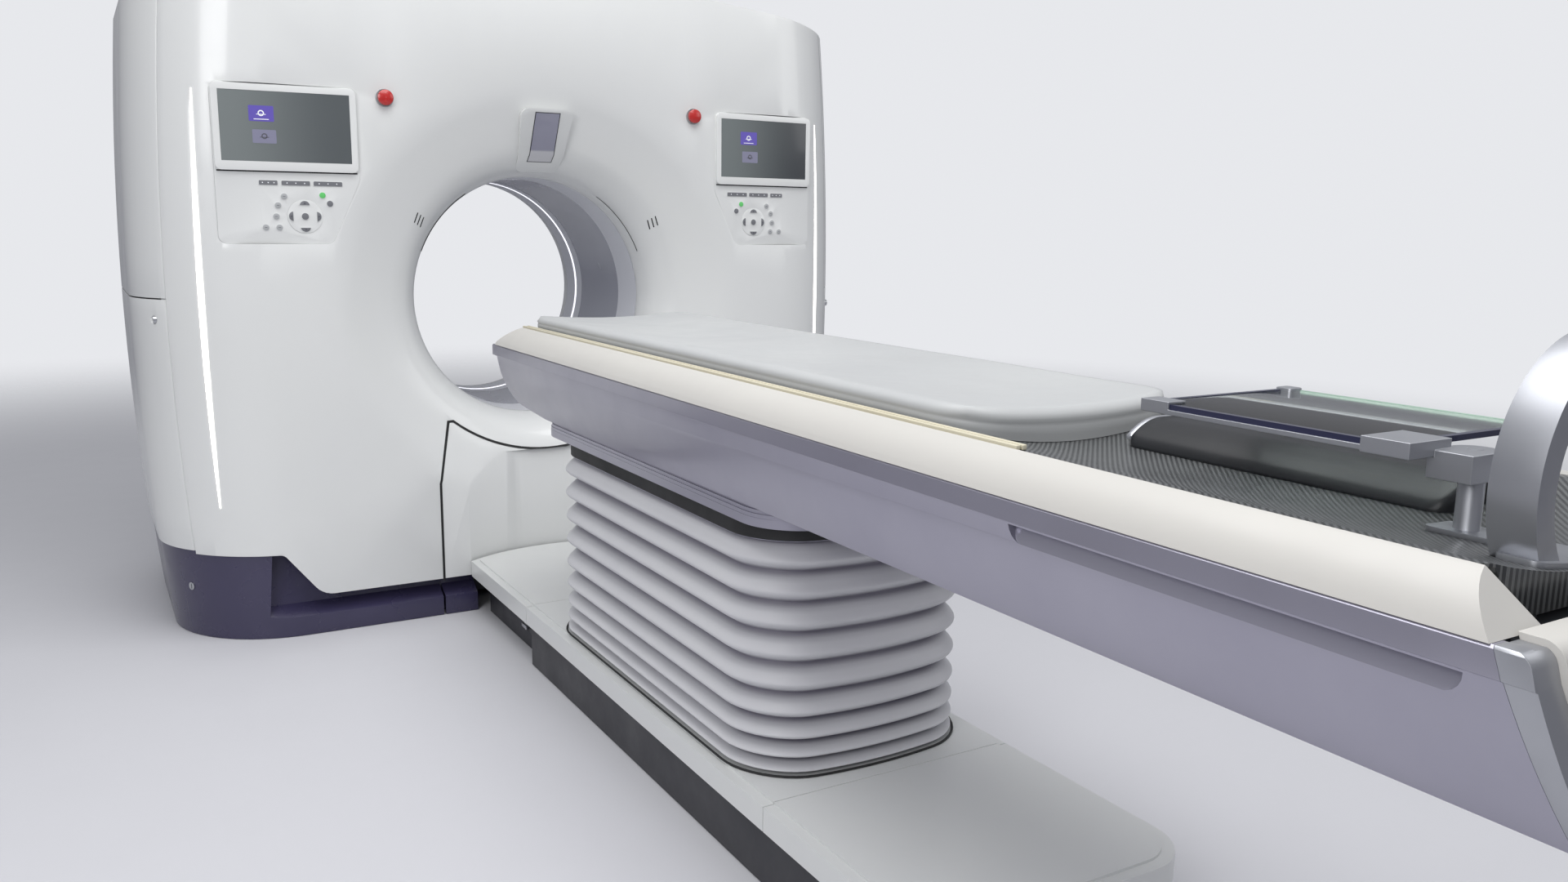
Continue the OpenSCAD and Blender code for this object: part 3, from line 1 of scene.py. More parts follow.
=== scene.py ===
# %% [markdown]
# # A CT scanner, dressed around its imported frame
# The solids of the scanner come from CAD and stay where they are: the gantry with its funnel,
# the lifting table, and the rotor inside. This lesson gives them their finishes, and models
# the parts that a solid model only hints at, such as the bellows, the pads and the keys.

# %% Load the frame
import math

import bmesh
import bpy
from mathutils import Matrix, Vector
from mathutils.bvhtree import BVHTree
from mathutils.noise import noise as wander


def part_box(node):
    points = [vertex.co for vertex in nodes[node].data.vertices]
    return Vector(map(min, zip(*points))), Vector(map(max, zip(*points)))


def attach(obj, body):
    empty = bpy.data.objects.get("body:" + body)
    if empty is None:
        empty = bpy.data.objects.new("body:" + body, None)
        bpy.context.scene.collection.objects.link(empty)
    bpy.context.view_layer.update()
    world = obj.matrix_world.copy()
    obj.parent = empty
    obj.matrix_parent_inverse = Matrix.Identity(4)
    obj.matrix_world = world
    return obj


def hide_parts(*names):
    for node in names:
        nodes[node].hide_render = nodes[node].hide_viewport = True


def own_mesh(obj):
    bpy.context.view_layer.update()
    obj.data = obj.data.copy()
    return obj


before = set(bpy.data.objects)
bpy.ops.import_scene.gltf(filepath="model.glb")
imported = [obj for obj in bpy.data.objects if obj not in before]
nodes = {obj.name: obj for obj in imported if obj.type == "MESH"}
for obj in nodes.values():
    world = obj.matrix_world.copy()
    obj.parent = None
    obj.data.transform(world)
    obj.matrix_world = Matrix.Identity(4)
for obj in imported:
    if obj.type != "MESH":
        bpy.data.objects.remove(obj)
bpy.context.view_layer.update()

# %% [markdown]
# ## Shader node groups
# Three effects come back in many finishes, so each is a group that is built once. Mottle gives a
# soft, uneven value for roughness. Orange peel is the fine ripple of a sprayed or moulded
# surface. Twill is the over-and-under pattern of a woven carbon laminate.

# %% A small kit for shader node groups
NUMBER = "NodeSocketFloat"


def new_group(name, inputs, outputs):
    """A group whose sockets are all plain numbers."""
    group = bpy.data.node_groups.new(name, "ShaderNodeTree")
    for socket, value in inputs.items():
        made = group.interface.new_socket(socket, in_out="INPUT", socket_type=NUMBER)
        made.default_value = value
    for socket in outputs:
        group.interface.new_socket(socket, in_out="OUTPUT", socket_type=NUMBER)
    return group, group.nodes.new("NodeGroupInput"), group.nodes.new("NodeGroupOutput")


def add(tree, kind, **settings):
    """A new node. A setting is a property of it or, with _ for a space, a socket's value."""
    node = tree.nodes.new(kind)
    for key, value in settings.items():
        if key in node.bl_rna.properties:
            setattr(node, key, value)
        else:
            node.inputs[key.replace("_", " ")].default_value = value
    return node


def math_node(tree, operation, *values):
    """Each value is a number or another node's socket."""
    node = add(tree, "ShaderNodeMath", operation=operation)
    for index, value in enumerate(values):
        if isinstance(value, bpy.types.NodeSocket):
            tree.links.new(value, node.inputs[index])
        else:
            node.inputs[index].default_value = value
    return node.outputs[0]


# %% Mottle: an uneven value between two limits
mottle, enter, leave = new_group("mottle", {"Scale": 6.0, "Low": 0.3, "High": 0.4}, ["Value"])
place = add(mottle, "ShaderNodeTexCoord")
noise = add(mottle, "ShaderNodeTexNoise", Detail=4.0, Roughness=0.6)
spread = add(mottle, "ShaderNodeMapRange", From_Min=0.3, From_Max=0.7)
mottle.links.new(place.outputs["Object"], noise.inputs["Vector"])
mottle.links.new(enter.outputs["Scale"], noise.inputs["Scale"])
mottle.links.new(noise.outputs["Fac"], spread.inputs["Value"])
mottle.links.new(enter.outputs["Low"], spread.inputs["To Min"])
mottle.links.new(enter.outputs["High"], spread.inputs["To Max"])
mottle.links.new(spread.outputs["Result"], leave.inputs["Value"])
print("mottle of", len(mottle.nodes), "nodes")

# %% Orange peel: the height of a fine ripple
peel, enter, leave = new_group("orange_peel", {"Scale": 300.0}, ["Height"])
place = add(peel, "ShaderNodeTexCoord")
noise = add(peel, "ShaderNodeTexNoise", Detail=2.0, Roughness=0.5)
peel.links.new(place.outputs["Object"], noise.inputs["Vector"])
peel.links.new(enter.outputs["Scale"], noise.inputs["Scale"])
peel.links.new(noise.outputs["Fac"], leave.inputs["Height"])
print("orange peel of", len(peel.nodes), "nodes")

# %% Twill: diagonal bundles, as a mask and a height
TWILL_REPEAT, TWILL_OVER = 4.0, 2.0
twill, enter, leave = new_group("twill", {"Pitch": 0.008}, ["Mask", "Height"])
place = add(twill, "ShaderNodeTexCoord")
split = add(twill, "ShaderNodeSeparateXYZ")
twill.links.new(place.outputs["Object"], split.inputs[0])
across = math_node(twill, "DIVIDE", split.outputs["X"], enter.outputs["Pitch"])
along = math_node(twill, "DIVIDE", split.outputs["Y"], enter.outputs["Pitch"])
diagonal = math_node(twill, "SUBTRACT", math_node(twill, "FLOOR", across),
                     math_node(twill, "FLOOR", along))
step = math_node(twill, "FLOORED_MODULO", diagonal, TWILL_REPEAT)
over = math_node(twill, "LESS_THAN", step, TWILL_OVER)
under = math_node(twill, "SUBTRACT", 1.0, over)


def swell_of(position):
    """A bundle's height: 0 at its edges and 1 along its middle."""
    turn = math_node(twill, "MULTIPLY", position, math.pi)
    return math_node(twill, "ABSOLUTE", math_node(twill, "SINE", turn))


height = math_node(twill, "ADD", math_node(twill, "MULTIPLY", over, swell_of(across)),
                   math_node(twill, "MULTIPLY", under, swell_of(along)))
twill.links.new(over, leave.inputs["Mask"])
twill.links.new(height, leave.inputs["Height"])
print("groups", [g.name for g in bpy.data.node_groups])


# %% [markdown]
# ## Finishes
# Every finish starts from a Principled shader with its plain numbers set on the shader's own
# sockets. What changes over the surface comes from the groups: an uneven roughness, so that
# highlights break up as on a used machine, and a fine bump.

# %% A finish with an uneven roughness and a fine bump
PATCHES = 6.0
BUMP_DEPTH = 0.0002


def finish(name, color, rough=(0.3, 0.4), metallic=0.0, ripple=300.0, bump=0.02, shift=None,
           **plain):
    """rough holds the limits of the roughness, and shift a second color for wide patches."""
    material = bpy.data.materials.new(name)
    material.use_nodes = True
    tree = material.node_tree
    shader = tree.nodes["Principled BSDF"]
    shader.inputs["Base Color"].default_value = (*color, 1.0)
    shader.inputs["Metallic"].default_value = metallic
    for socket, value in plain.items():
        shader.inputs[socket.replace("_", " ")].default_value = value
    uneven = add(tree, "ShaderNodeGroup", node_tree=mottle, Scale=PATCHES, Low=rough[0],
                 High=rough[1])
    tree.links.new(uneven.outputs["Value"], shader.inputs["Roughness"])
    if bump:
        fine = add(tree, "ShaderNodeGroup", node_tree=peel, Scale=ripple)
        lift = add(tree, "ShaderNodeBump", Strength=bump, Distance=BUMP_DEPTH)
        tree.links.new(fine.outputs["Height"], lift.inputs["Height"])
        tree.links.new(lift.outputs["Normal"], shader.inputs["Normal"])
    if shift:
        blotch = add(tree, "ShaderNodeGroup", node_tree=mottle, Scale=PATCHES / 2, Low=0.0,
                     High=1.0)
        mix = add(tree, "ShaderNodeMix", data_type="RGBA", A=(*color, 1.0), B=(*shift, 1.0))
        tree.links.new(blotch.outputs["Value"], mix.inputs["Factor"])
        tree.links.new(mix.outputs["Result"], shader.inputs["Base Color"])
    return material


# %% [markdown]
# The covers are glossy moulded plastic in a neutral white, and the table's rails are a warmer one.
# The table's sides are metallic paint with a lilac cast, the base is dark slate, and the pads are
# vinyl with a fine leather-like grain.

# %% The finishes of the solid nodes
cover_white = finish("cover_white", (0.735, 0.745, 0.735), (0.20, 0.27), ripple=220.0,
                     bump=0.015, shift=(0.725, 0.735, 0.73), Coat_Weight=0.35,
                     Coat_Roughness=0.08)
rail_white = finish("rail_white", (0.60, 0.585, 0.55), (0.34, 0.46), ripple=260.0, bump=0.06,
                    shift=(0.575, 0.56, 0.53))
base_white = finish("base_white", (0.68, 0.69, 0.68), (0.34, 0.36), bump=0.0,
                    shift=(0.66, 0.67, 0.67), Coat_Weight=0.2, Coat_Roughness=0.15)
slate_paint = finish("slate_paint", (0.040, 0.035, 0.082), (0.22, 0.36), bump=0.0,
                     shift=(0.033, 0.029, 0.070), Coat_Weight=0.3, Coat_Roughness=0.12)
black_rubber = finish("black_rubber", (0.012, 0.012, 0.013), (0.55, 0.75), ripple=600.0,
                      bump=0.15)
liner_plastic = finish("liner_plastic", (0.68, 0.69, 0.73), (0.28, 0.40), bump=0.04)
window_film = finish("window_film", (0.34, 0.35, 0.40), (0.18, 0.28), bump=0.0,
                     Coat_Weight=0.5, Coat_Roughness=0.05)
frame_steel = finish("frame_steel", (0.17, 0.18, 0.20), (0.40, 0.60), ripple=500.0, bump=0.15,
                     shift=(0.13, 0.14, 0.16))
turned_steel = finish("turned_steel", (0.48, 0.49, 0.51), (0.22, 0.36), 1.0, bump=0.04)
winding = finish("winding", (0.19, 0.085, 0.03), (0.35, 0.5), ripple=120.0, bump=0.3,
                 shift=(0.12, 0.05, 0.02))
black_plastic = finish("black_plastic", (0.022, 0.022, 0.028), (0.42, 0.60), ripple=420.0,
                       bump=0.12, shift=(0.030, 0.030, 0.036))
rotor_metal = finish("rotor_metal", (0.50, 0.51, 0.53), (0.30, 0.48), 0.9, bump=0.05,
                     shift=(0.44, 0.45, 0.47))
unit_grey = finish("unit_grey", (0.10, 0.11, 0.13), (0.40, 0.55), ripple=420.0, bump=0.12,
                   shift=(0.08, 0.09, 0.11))
slip_brass = finish("slip_brass", (0.52, 0.36, 0.13), (0.25, 0.40), 1.0, bump=0.04)
satin_alloy = finish("satin_alloy", (0.46, 0.47, 0.50), (0.36, 0.46), 0.9, ripple=700.0,
                     bump=0.05, shift=(0.43, 0.44, 0.47))
table_silver = finish("table_silver", (0.40, 0.39, 0.46), (0.32, 0.40), 0.8, ripple=900.0,
                      bump=0.05, shift=(0.38, 0.37, 0.445), Coat_Weight=0.3,
                      Coat_Roughness=0.15)
cream_plastic = finish("cream_plastic", (0.66, 0.62, 0.48), (0.32, 0.45), ripple=400.0,
                       bump=0.08, shift=(0.62, 0.57, 0.43))
stop_red = finish("stop_red", (0.50, 0.022, 0.020), (0.20, 0.32), bump=0.03,
                  shift=(0.44, 0.018, 0.016), Coat_Weight=0.5, Coat_Roughness=0.1)
bellows_vinyl = finish("bellows_vinyl", (0.58, 0.58, 0.60), (0.40, 0.52), ripple=900.0,
                       bump=0.12, shift=(0.55, 0.55, 0.575), Sheen_Weight=0.05)
mattress_vinyl = finish("mattress_vinyl", (0.50, 0.51, 0.51), (0.38, 0.52), ripple=1100.0,
                        bump=0.25, shift=(0.46, 0.47, 0.475), Sheen_Weight=0.12)
pad_black = finish("pad_black", (0.010, 0.011, 0.013), (0.34, 0.46), ripple=900.0, bump=0.15,
                   shift=(0.014, 0.015, 0.018))
key_grey = finish("key_grey", (0.40, 0.41, 0.42), (0.35, 0.48), bump=0.05)
key_dark = finish("key_dark", (0.17, 0.175, 0.19), (0.35, 0.48), bump=0.05)
navy_print = finish("navy_print", (0.018, 0.020, 0.060), (0.12, 0.22), bump=0.0, Coat_Weight=0.5)
glass_edge = finish("glass_edge", (0.36, 0.52, 0.42), (0.10, 0.20), bump=0.0, Coat_Weight=0.5)


def shaded_by(material, attribute, color):
    """Blend a finish towards a color where a value stored on the mesh is high."""
    tree = material.node_tree
    base = tree.nodes["Principled BSDF"].inputs["Base Color"]
    stored = add(tree, "ShaderNodeAttribute", attribute_name=attribute)
    mix = add(tree, "ShaderNodeMix", data_type="RGBA", B=(*color, 1.0))
    tree.links.new(base.links[0].from_socket, mix.inputs["A"])
    tree.links.new(stored.outputs["Fac"], mix.inputs["Factor"])
    tree.links.new(mix.outputs["Result"], base)


# The bellows' vinyl is darkened where the groove value is high: painted shade at the bottom of each
# groove, where the fold above shades it.
shaded_by(bellows_vinyl, "groove", (0.17, 0.16, 0.20))
print(len(bpy.data.materials), "plain finishes")


# %% [markdown]
# Lit parts shine by themselves: the two strips, the ring at the back of the bore, and a faint
# glow on the tiles of the screens. Their strength stays low, so that they read as lit and don't
# light the room.

# %% Lit finishes
def lit(name, color, strength):
    material = finish(name, color, (0.3, 0.4), bump=0.0)
    shader = material.node_tree.nodes["Principled BSDF"]
    shader.inputs["Emission Color"].default_value = (*color, 1.0)
    shader.inputs["Emission Strength"].default_value = strength
    return material


strip_light = lit("strip_light", (1.0, 0.97, 0.93), 2.2)
ring_light = lit("ring_light", (0.93, 0.93, 1.0), 1.1)
tile_violet = lit("tile_violet", (0.10, 0.075, 0.34), 0.30)
tile_grey = lit("tile_grey", (0.20, 0.20, 0.28), 0.15)
glyph_dark = lit("glyph_dark", (0.10, 0.10, 0.12), 0.0)
glyph_pale = lit("glyph_pale", (0.80, 0.81, 0.83), 0.15)
glyph_green = lit("glyph_green", (0.10, 0.42, 0.12), 0.35)
print(len(bpy.data.materials), "finishes with the lit ones")


# %% [markdown]
# The cradle is a carbon laminate: nearly black, with a twill under a thin clear coat. The warp and
# the weft catch the light differently, and that is painted: one set of bundles is painted lighter.

# %% Carbon laminate
carbon = finish("carbon", (0.018, 0.018, 0.020), (0.30, 0.42), bump=0.0, Coat_Weight=0.25,
                Coat_Roughness=0.2)
tree = carbon.node_tree
shader = tree.nodes["Principled BSDF"]
woven = add(tree, "ShaderNodeGroup", node_tree=twill, Pitch=0.0025)
# The lighter colour of the over bundles is a painted sheen, not a different fibre.
shade = add(tree, "ShaderNodeMix", data_type="RGBA", A=(0.030, 0.032, 0.034, 1.0),
            B=(0.115, 0.120, 0.122, 1.0))
lift = add(tree, "ShaderNodeBump", Strength=0.35, Distance=0.0006)
tree.links.new(woven.outputs["Mask"], shade.inputs["Factor"])
tree.links.new(shade.outputs["Result"], shader.inputs["Base Color"])
tree.links.new(woven.outputs["Height"], lift.inputs["Height"])
tree.links.new(lift.outputs["Normal"], shader.inputs["Normal"])
print("carbon laminate of", len(tree.nodes), "nodes")

# %% [markdown]
# The tray is clear glass with a faint green in its depth.

# %% Glass
tray_clear = finish("tray_clear", (0.90, 0.97, 0.95), (0.02, 0.05), bump=0.0,
                    Transmission_Weight=1.0, IOR=1.5)

# %% [markdown]
# A screen isn't one flat colour: it is brighter at one side, where its picture is, and the window
# over the bore has a paler field in its lower third. Both are a blend of two colours along one
# axis.

# %% Finishes that change along an axis
def graded(name, axis, start, end, first, last, glow=0.0):
    material = finish(name, first, (0.10, 0.20), bump=0.0, Coat_Weight=0.6, Coat_Roughness=0.05)
    tree = material.node_tree
    shader = tree.nodes["Principled BSDF"]
    place = add(tree, "ShaderNodeTexCoord")
    split = add(tree, "ShaderNodeSeparateXYZ")
    share = add(tree, "ShaderNodeMapRange", interpolation_type="SMOOTHSTEP", From_Min=start,
                From_Max=end)
    mix = add(tree, "ShaderNodeMix", data_type="RGBA", A=(*first, 1.0), B=(*last, 1.0))
    tree.links.new(place.outputs["Object"], split.inputs[0])
    tree.links.new(split.outputs[axis], share.inputs["Value"])
    tree.links.new(share.outputs["Result"], mix.inputs["Factor"])
    tree.links.new(mix.outputs["Result"], shader.inputs["Base Color"])
    if glow:
        tree.links.new(mix.outputs["Result"], shader.inputs["Emission Color"])
        shader.inputs["Emission Strength"].default_value = glow
    return material


screen_left_glass = graded("screen_left_glass", "X", -0.97, -0.64, (0.17, 0.19, 0.19),
                           (0.085, 0.095, 0.10), 0.12)
screen_right_glass = graded("screen_right_glass", "X", 0.62, 0.96, (0.15, 0.17, 0.17),
                            (0.045, 0.050, 0.055), 0.12)
window_satin = graded("window_satin", "Z", 1.500, 1.508, (0.56, 0.56, 0.59),
                      (0.30, 0.30, 0.38))

# %% Give every solid node its finish
NODE_FINISH = {
    "gantry_frame": frame_steel, "main_bearing": turned_steel, "drive_stator": winding,
    "brush_block": black_plastic, "gantry_plinth": slate_paint, "front_cover": cover_white,
    "belly_cover": cover_white, "belly_seal": black_rubber, "rear_cover": cover_white,
    "top_cover": cover_white, "upper_side_cover_left": cover_white,
    "upper_side_cover_right": cover_white, "lower_side_cover_left": cover_white,
    "lower_side_cover_right": cover_white, "bore_liner": liner_plastic,
    "scan_window": window_film, "light_ring": ring_light, "light_strips": strip_light,
    "window_housing": cover_white, "camera_window": window_satin, "control_panel_left": cover_white,
    "control_panel_right": cover_white, "screen_left": screen_left_glass,
    "screen_right": screen_right_glass, "cover_locks": turned_steel, "rotor_plate": rotor_metal,
    "bearing_inner_ring": turned_steel, "xray_tube": rotor_metal, "collimator": unit_grey,
    "detector": unit_grey, "high_voltage_generator": unit_grey,
    "heat_exchanger": rotor_metal, "slip_ring": slip_brass, "estop_left": stop_red,
    "estop_right": stop_red, "direction_pad_left": cover_white,
    "direction_pad_right": cover_white, "table_base_frame": frame_steel,
    "table_base_plinth": black_plastic, "table_base_cover": base_white,
    "base_front_box": black_plastic, "base_latch": turned_steel, "outer_columns": satin_alloy,
    "middle_columns": satin_alloy, "inner_columns": satin_alloy, "bellows": bellows_vinyl,
    "table_beam": frame_steel, "table_body": table_silver, "bellows_collar": table_silver,
    "top_rails": rail_white, "foot_ring": satin_alloy, "foot_cap": rail_white,
    "cradle_roller": black_rubber, "cradle": carbon, "accessory_rails": cream_plastic,
    "mattress": mattress_vinyl, "foot_pad": pad_black, "handle_hoop": satin_alloy,
    "tray_arm": satin_alloy, "tray_glass": tray_clear,
}
for name, node in nodes.items():
    node.data.materials.clear()
    node.data.materials.append(NODE_FINISH[name])
print("finished", len(NODE_FINISH), "nodes")

# %% [markdown]
# ## Soften the solids' edges
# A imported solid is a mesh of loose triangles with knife-sharp edges. Real covers have small radii
# that catch the light. A few modifiers do that without touching the mesh: Weld joins the
# triangles, Bevel rounds what is left sharp, and Edge Split with smooth shading hides the facets.
# Parts with large flat faces first lose the edges inside one plane, and their normals are weighted
# by area, so that a flat face shades as a flat.

# %% Weld and bevel, with the bevels' widths in millimetres
SOFT_EDGES = {
    "front_cover": 3.0, "belly_cover": 2.0, "rear_cover": 3.0, "top_cover": 3.0,
    "upper_side_cover_left": 2.0, "upper_side_cover_right": 2.0, "lower_side_cover_left": 2.0,
    "lower_side_cover_right": 2.0, "gantry_plinth": 3.0, "table_body": 2.0, "top_rails": 2.5,
    "foot_ring": 3.0, "foot_cap": 3.0, "handle_hoop": 6.0, "tray_arm": 5.0,
    "control_panel_left": 1.2, "control_panel_right": 1.2, "window_housing": 2.5,
    "base_front_box": 2.0, "table_base_plinth": 1.5, "accessory_rails": 1.5, "cradle": 1.0,
    "estop_left": 1.0, "estop_right": 1.0, "direction_pad_left": 0.5,
    "direction_pad_right": 0.5, "base_latch": 0.8, "tray_glass": 1.0,
}
FLAT_FACED = {"table_base_cover", "top_cover", "tray_arm", "top_rails"}
SAME_POINT = 0.00002
SHARP = math.radians(32)
SPLIT = math.radians(38)
FLAT = math.radians(0.5)
AREA_WEIGHT = 90


def soften(node, width):
    weld = node.modifiers.new("weld", "WELD")
    weld.merge_threshold = SAME_POINT
    if node.name in FLAT_FACED:
        flat = node.modifiers.new("flat", "DECIMATE")
        flat.decimate_type = "DISSOLVE"
        flat.angle_limit = FLAT
    if width:
        bevel = node.modifiers.new("bevel", "BEVEL")
        bevel.width = width / 1000
        bevel.segments = 3
        bevel.limit_method = "ANGLE"
        bevel.angle_limit = SHARP
        bevel.harden_normals = False
        bevel.use_clamp_overlap = True
    split = node.modifiers.new("split", "EDGE_SPLIT")
    split.split_angle = SPLIT
    if node.name in FLAT_FACED:
        even = node.modifiers.new("even", "WEIGHTED_NORMAL")
        even.weight = AREA_WEIGHT
    for face in node.data.polygons:
        face.use_smooth = True


for name, node in nodes.items():
    soften(node, SOFT_EDGES.get(name, 0.0))
print("bevels on", len(SOFT_EDGES), "nodes, flat faces cleared on", len(FLAT_FACED))

# %% [markdown]
# ## How the modelled pieces are made
# Each piece starts in a bmesh, at its place in the shared frame, and then rides on the body that
# carries it. Small parts such as keys are made one by one on a flat frame and stamped into one
# mesh, so that a whole key field is a single object.

# %% Helpers: an object of a bmesh, and a part stamped into a larger mesh
def only(kind, items):
    """The vertices, edges or faces among the things that an operator made."""
    return [item for item in items if isinstance(item, kind)]


def in_scene(name, data):
    """A new object for a mesh, a lamp or a camera, linked into the scene."""
    made = bpy.data.objects.new(name, data)
    bpy.context.scene.collection.objects.link(made)
    return made


def piece(name, mesh, body, *materials, sharp=35):
    """Make a visible piece that rides on a body. Edges over sharp degrees stay crisp."""
    bmesh.ops.recalc_face_normals(mesh, faces=mesh.faces[:])
    data = bpy.data.meshes.new(name)
    mesh.to_mesh(data)
    mesh.free()
    for material in materials:
        data.materials.append(material)
    for face in data.polygons:
        face.use_smooth = True
    data.set_sharp_from_angle(angle=math.radians(sharp))
    made = in_scene(name, data)
    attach(made, body)
    print(name, len(data.polygons), "faces on", body)
    return made


def stamp(target, part, place=Matrix(), slot=0):
    """Add a part to a larger mesh, at a place and with one of its materials."""
    bmesh.ops.recalc_face_normals(part, faces=part.faces[:])
    bmesh.ops.transform(part, matrix=place, verts=part.verts[:])
    for face in part.faces:
        face.material_index = slot
    held = bpy.data.meshes.new("held")
    part.to_mesh(held)
    part.free()
    target.from_mesh(held)
    bpy.data.meshes.remove(held)


def move(part, vec):
    bmesh.ops.translate(part, vec=vec, verts=part.verts[:])


def cut(part, at, normal, **side):
    """Cut a part along a plane. clear_inner or clear_outer drops what lies on one side."""
    bmesh.ops.bisect_plane(part, geom=part.verts[:] + part.edges[:] + part.faces[:],
                           plane_co=at, plane_no=normal, **side)


def joined_copy(node):
    """A copy of a solid's mesh whose loose triangles are joined."""
    copy = bmesh.new()
    copy.from_mesh(nodes[node].data)
    bmesh.ops.remove_doubles(copy, verts=copy.verts[:], dist=SAME_POINT)
    return copy


# %% Helpers: flat outlines that are raised into plates, discs and frames
SIDES = ((-1, "left"), (1, "right"))


def flat_frame(corner, across, up):
    """x runs across the face, y up it, and z comes out of it."""
    across, up = Vector(across).normalized(), Vector(up).normalized()
    axes = Matrix((across, up, across.cross(up))).transposed().to_4x4()
    return Matrix.Translation(corner) @ axes


def raise_up(part, height, edge=0.0):
    """Give a flat outline a thickness, and its raised rim a bevel."""
    made = bmesh.ops.extrude_face_region(part, geom=part.faces[:], use_keep_orig=True)["geom"]
    moved = only(bmesh.types.BMVert, made)
    bmesh.ops.translate(part, vec=(0, 0, height), verts=moved)
    if edge:
        rim = only(bmesh.types.BMEdge, made)
        bmesh.ops.bevel(part, geom=rim, affect="EDGES", offset=edge, segments=2, profile=0.5,
                        material=-1)
    return part


def outline(box, radius, height, steps=5):
    """A flat rectangle with rounded corners. box is left, low, right, top."""
    left, low, right, top = box
    part = bmesh.new()
    bmesh.ops.create_grid(part, x_segments=1, y_segments=1, size=0.5)
    bmesh.ops.scale(part, vec=(right - left, top - low, 1), verts=part.verts[:])
    move(part, ((left + right) / 2, (low + top) / 2, height))
    if radius:
        bmesh.ops.bevel(part, geom=part.verts[:], affect="VERTICES", offset=radius,
                        segments=steps, profile=0.5, material=-1)
    return part


def plate(box, back, front, radius=0.0, edge=0.0):
    return raise_up(outline(box, radius, back), front - back, edge)


def border(box, width, back, front, radius=0.0):
    part = outline(box, radius, back)
    ring = bmesh.ops.inset_region(part, faces=part.faces[:], thickness=width,
                                  use_even_offset=True, use_boundary=True)["faces"]
    inner = [face for face in part.faces if face not in ring]
    bmesh.ops.delete(part, geom=inner, context="FACES")
    return raise_up(part, front - back)


def disc(x, y, radius, back, front, edge=0.0, sides=28):
    part = bmesh.new()
    bmesh.ops.create_circle(part, cap_ends=True, radius=radius, segments=sides)
    move(part, (x, y, back))
    return raise_up(part, front - back, edge)


def cap(x, y, radius, face):
    """A low round cap that starts just under the face that it stands on."""
    return disc(x, y, radius, face - 0.0002, face + 0.0008, 0.0004)


def turned(profile, angle=2 * math.pi, steps=48):
    """Turn a closed profile of (radius, height) points about z."""
    part = bmesh.new()
    dots = [part.verts.new((radius, 0.0, height)) for radius, height in profile]
    lines = [part.edges.new(pair) for pair in zip(dots, dots[1:] + dots[:1])]
    whole = angle >= 2 * math.pi
    bmesh.ops.spin(part, geom=dots + lines, cent=(0, 0, 0), axis=(0, 0, 1), angle=angle,
                   steps=steps, use_merge=whole)
    if not whole:
        bmesh.ops.holes_fill(part, edges=part.edges[:], sides=len(profile))
    return part


# %% [markdown]
# ## The bellows round the lift
# A bellows of this kind is a stitched vinyl sleeve. Each fold slopes out from a narrow groove to a
# crisp lip and tucks back in under it, and the folds hang closer together near the floor, where
# they carry the weight of those above. One ring is laid out in plan, a rounded rectangle with
# bowed ends, and is extruded edge by edge up the profile of each fold. The bottom of each groove
# is given painted shade: its colour darkens there, where the fold above shades it.

# %% The plan of one ring and the levels of all folds
BELLOWS_LOW, BELLOWS_TOP = 0.1793, 0.665
BELLOWS_MID_Y = -1.900
GROOVE_HALF_W, GROOVE_HALF_L, GROOVE_CORNER = 0.255, 0.548, 0.108
END_BOW = 0.040
END_STEPS, SIDE_STEPS, CORNER_STEPS = 6, 7, 10
FOLD_DEPTH = 0.032
GROOVE_SINK = 0.010
# How far out from the bottom of a groove the painted shade fades away.
GROOVE_PAINTED_SHADE = 0.014
FOLDS = 9
FOLD_FORM = ((0.0, 0.0), (0.04, 0.07), (0.12, 0.30), (0.21, 0.60), (0.29, 0.83), (0.35, 0.95),
             (0.39, 0.99), (0.42, 1.0), (0.45, 0.99), (0.49, 0.95), (0.57, 0.83),
             (0.69, 0.60), (0.82, 0.34), (0.92, 0.12), (0.97, 0.03))


def ring_plan(grow):
    """The dots of one ring, the groove's plan grown by a distance."""
    half_w, half_l = GROOVE_HALF_W + grow, GROOVE_HALF_L + grow
    corner = GROOVE_CORNER + grow
    quarter = [(half_w - corner + corner * math.cos(a), half_l - corner + corner * math.sin(a))
               for a in (math.radians(90 / CORNER_STEPS * k) for k in range(CORNER_STEPS + 1))]
    flat = half_w - corner
    end = [(flat * (1 - k / END_STEPS), half_l) for k in range(1, 2 * END_STEPS)]
    side = [(-half_w, (half_l - corner) * (1 - k / SIDE_STEPS)) for k in range(1, 2 * SIDE_STEPS)]
    mirrored = [(-x, y) for x, y in reversed(quarter)]
    bowed = [(x, y + END_BOW * (1 - (x / half_w) ** 2)) for x, y in quarter + end + mirrored]
    half = bowed + side
    return half + [(-x, -y) for x, y in half]


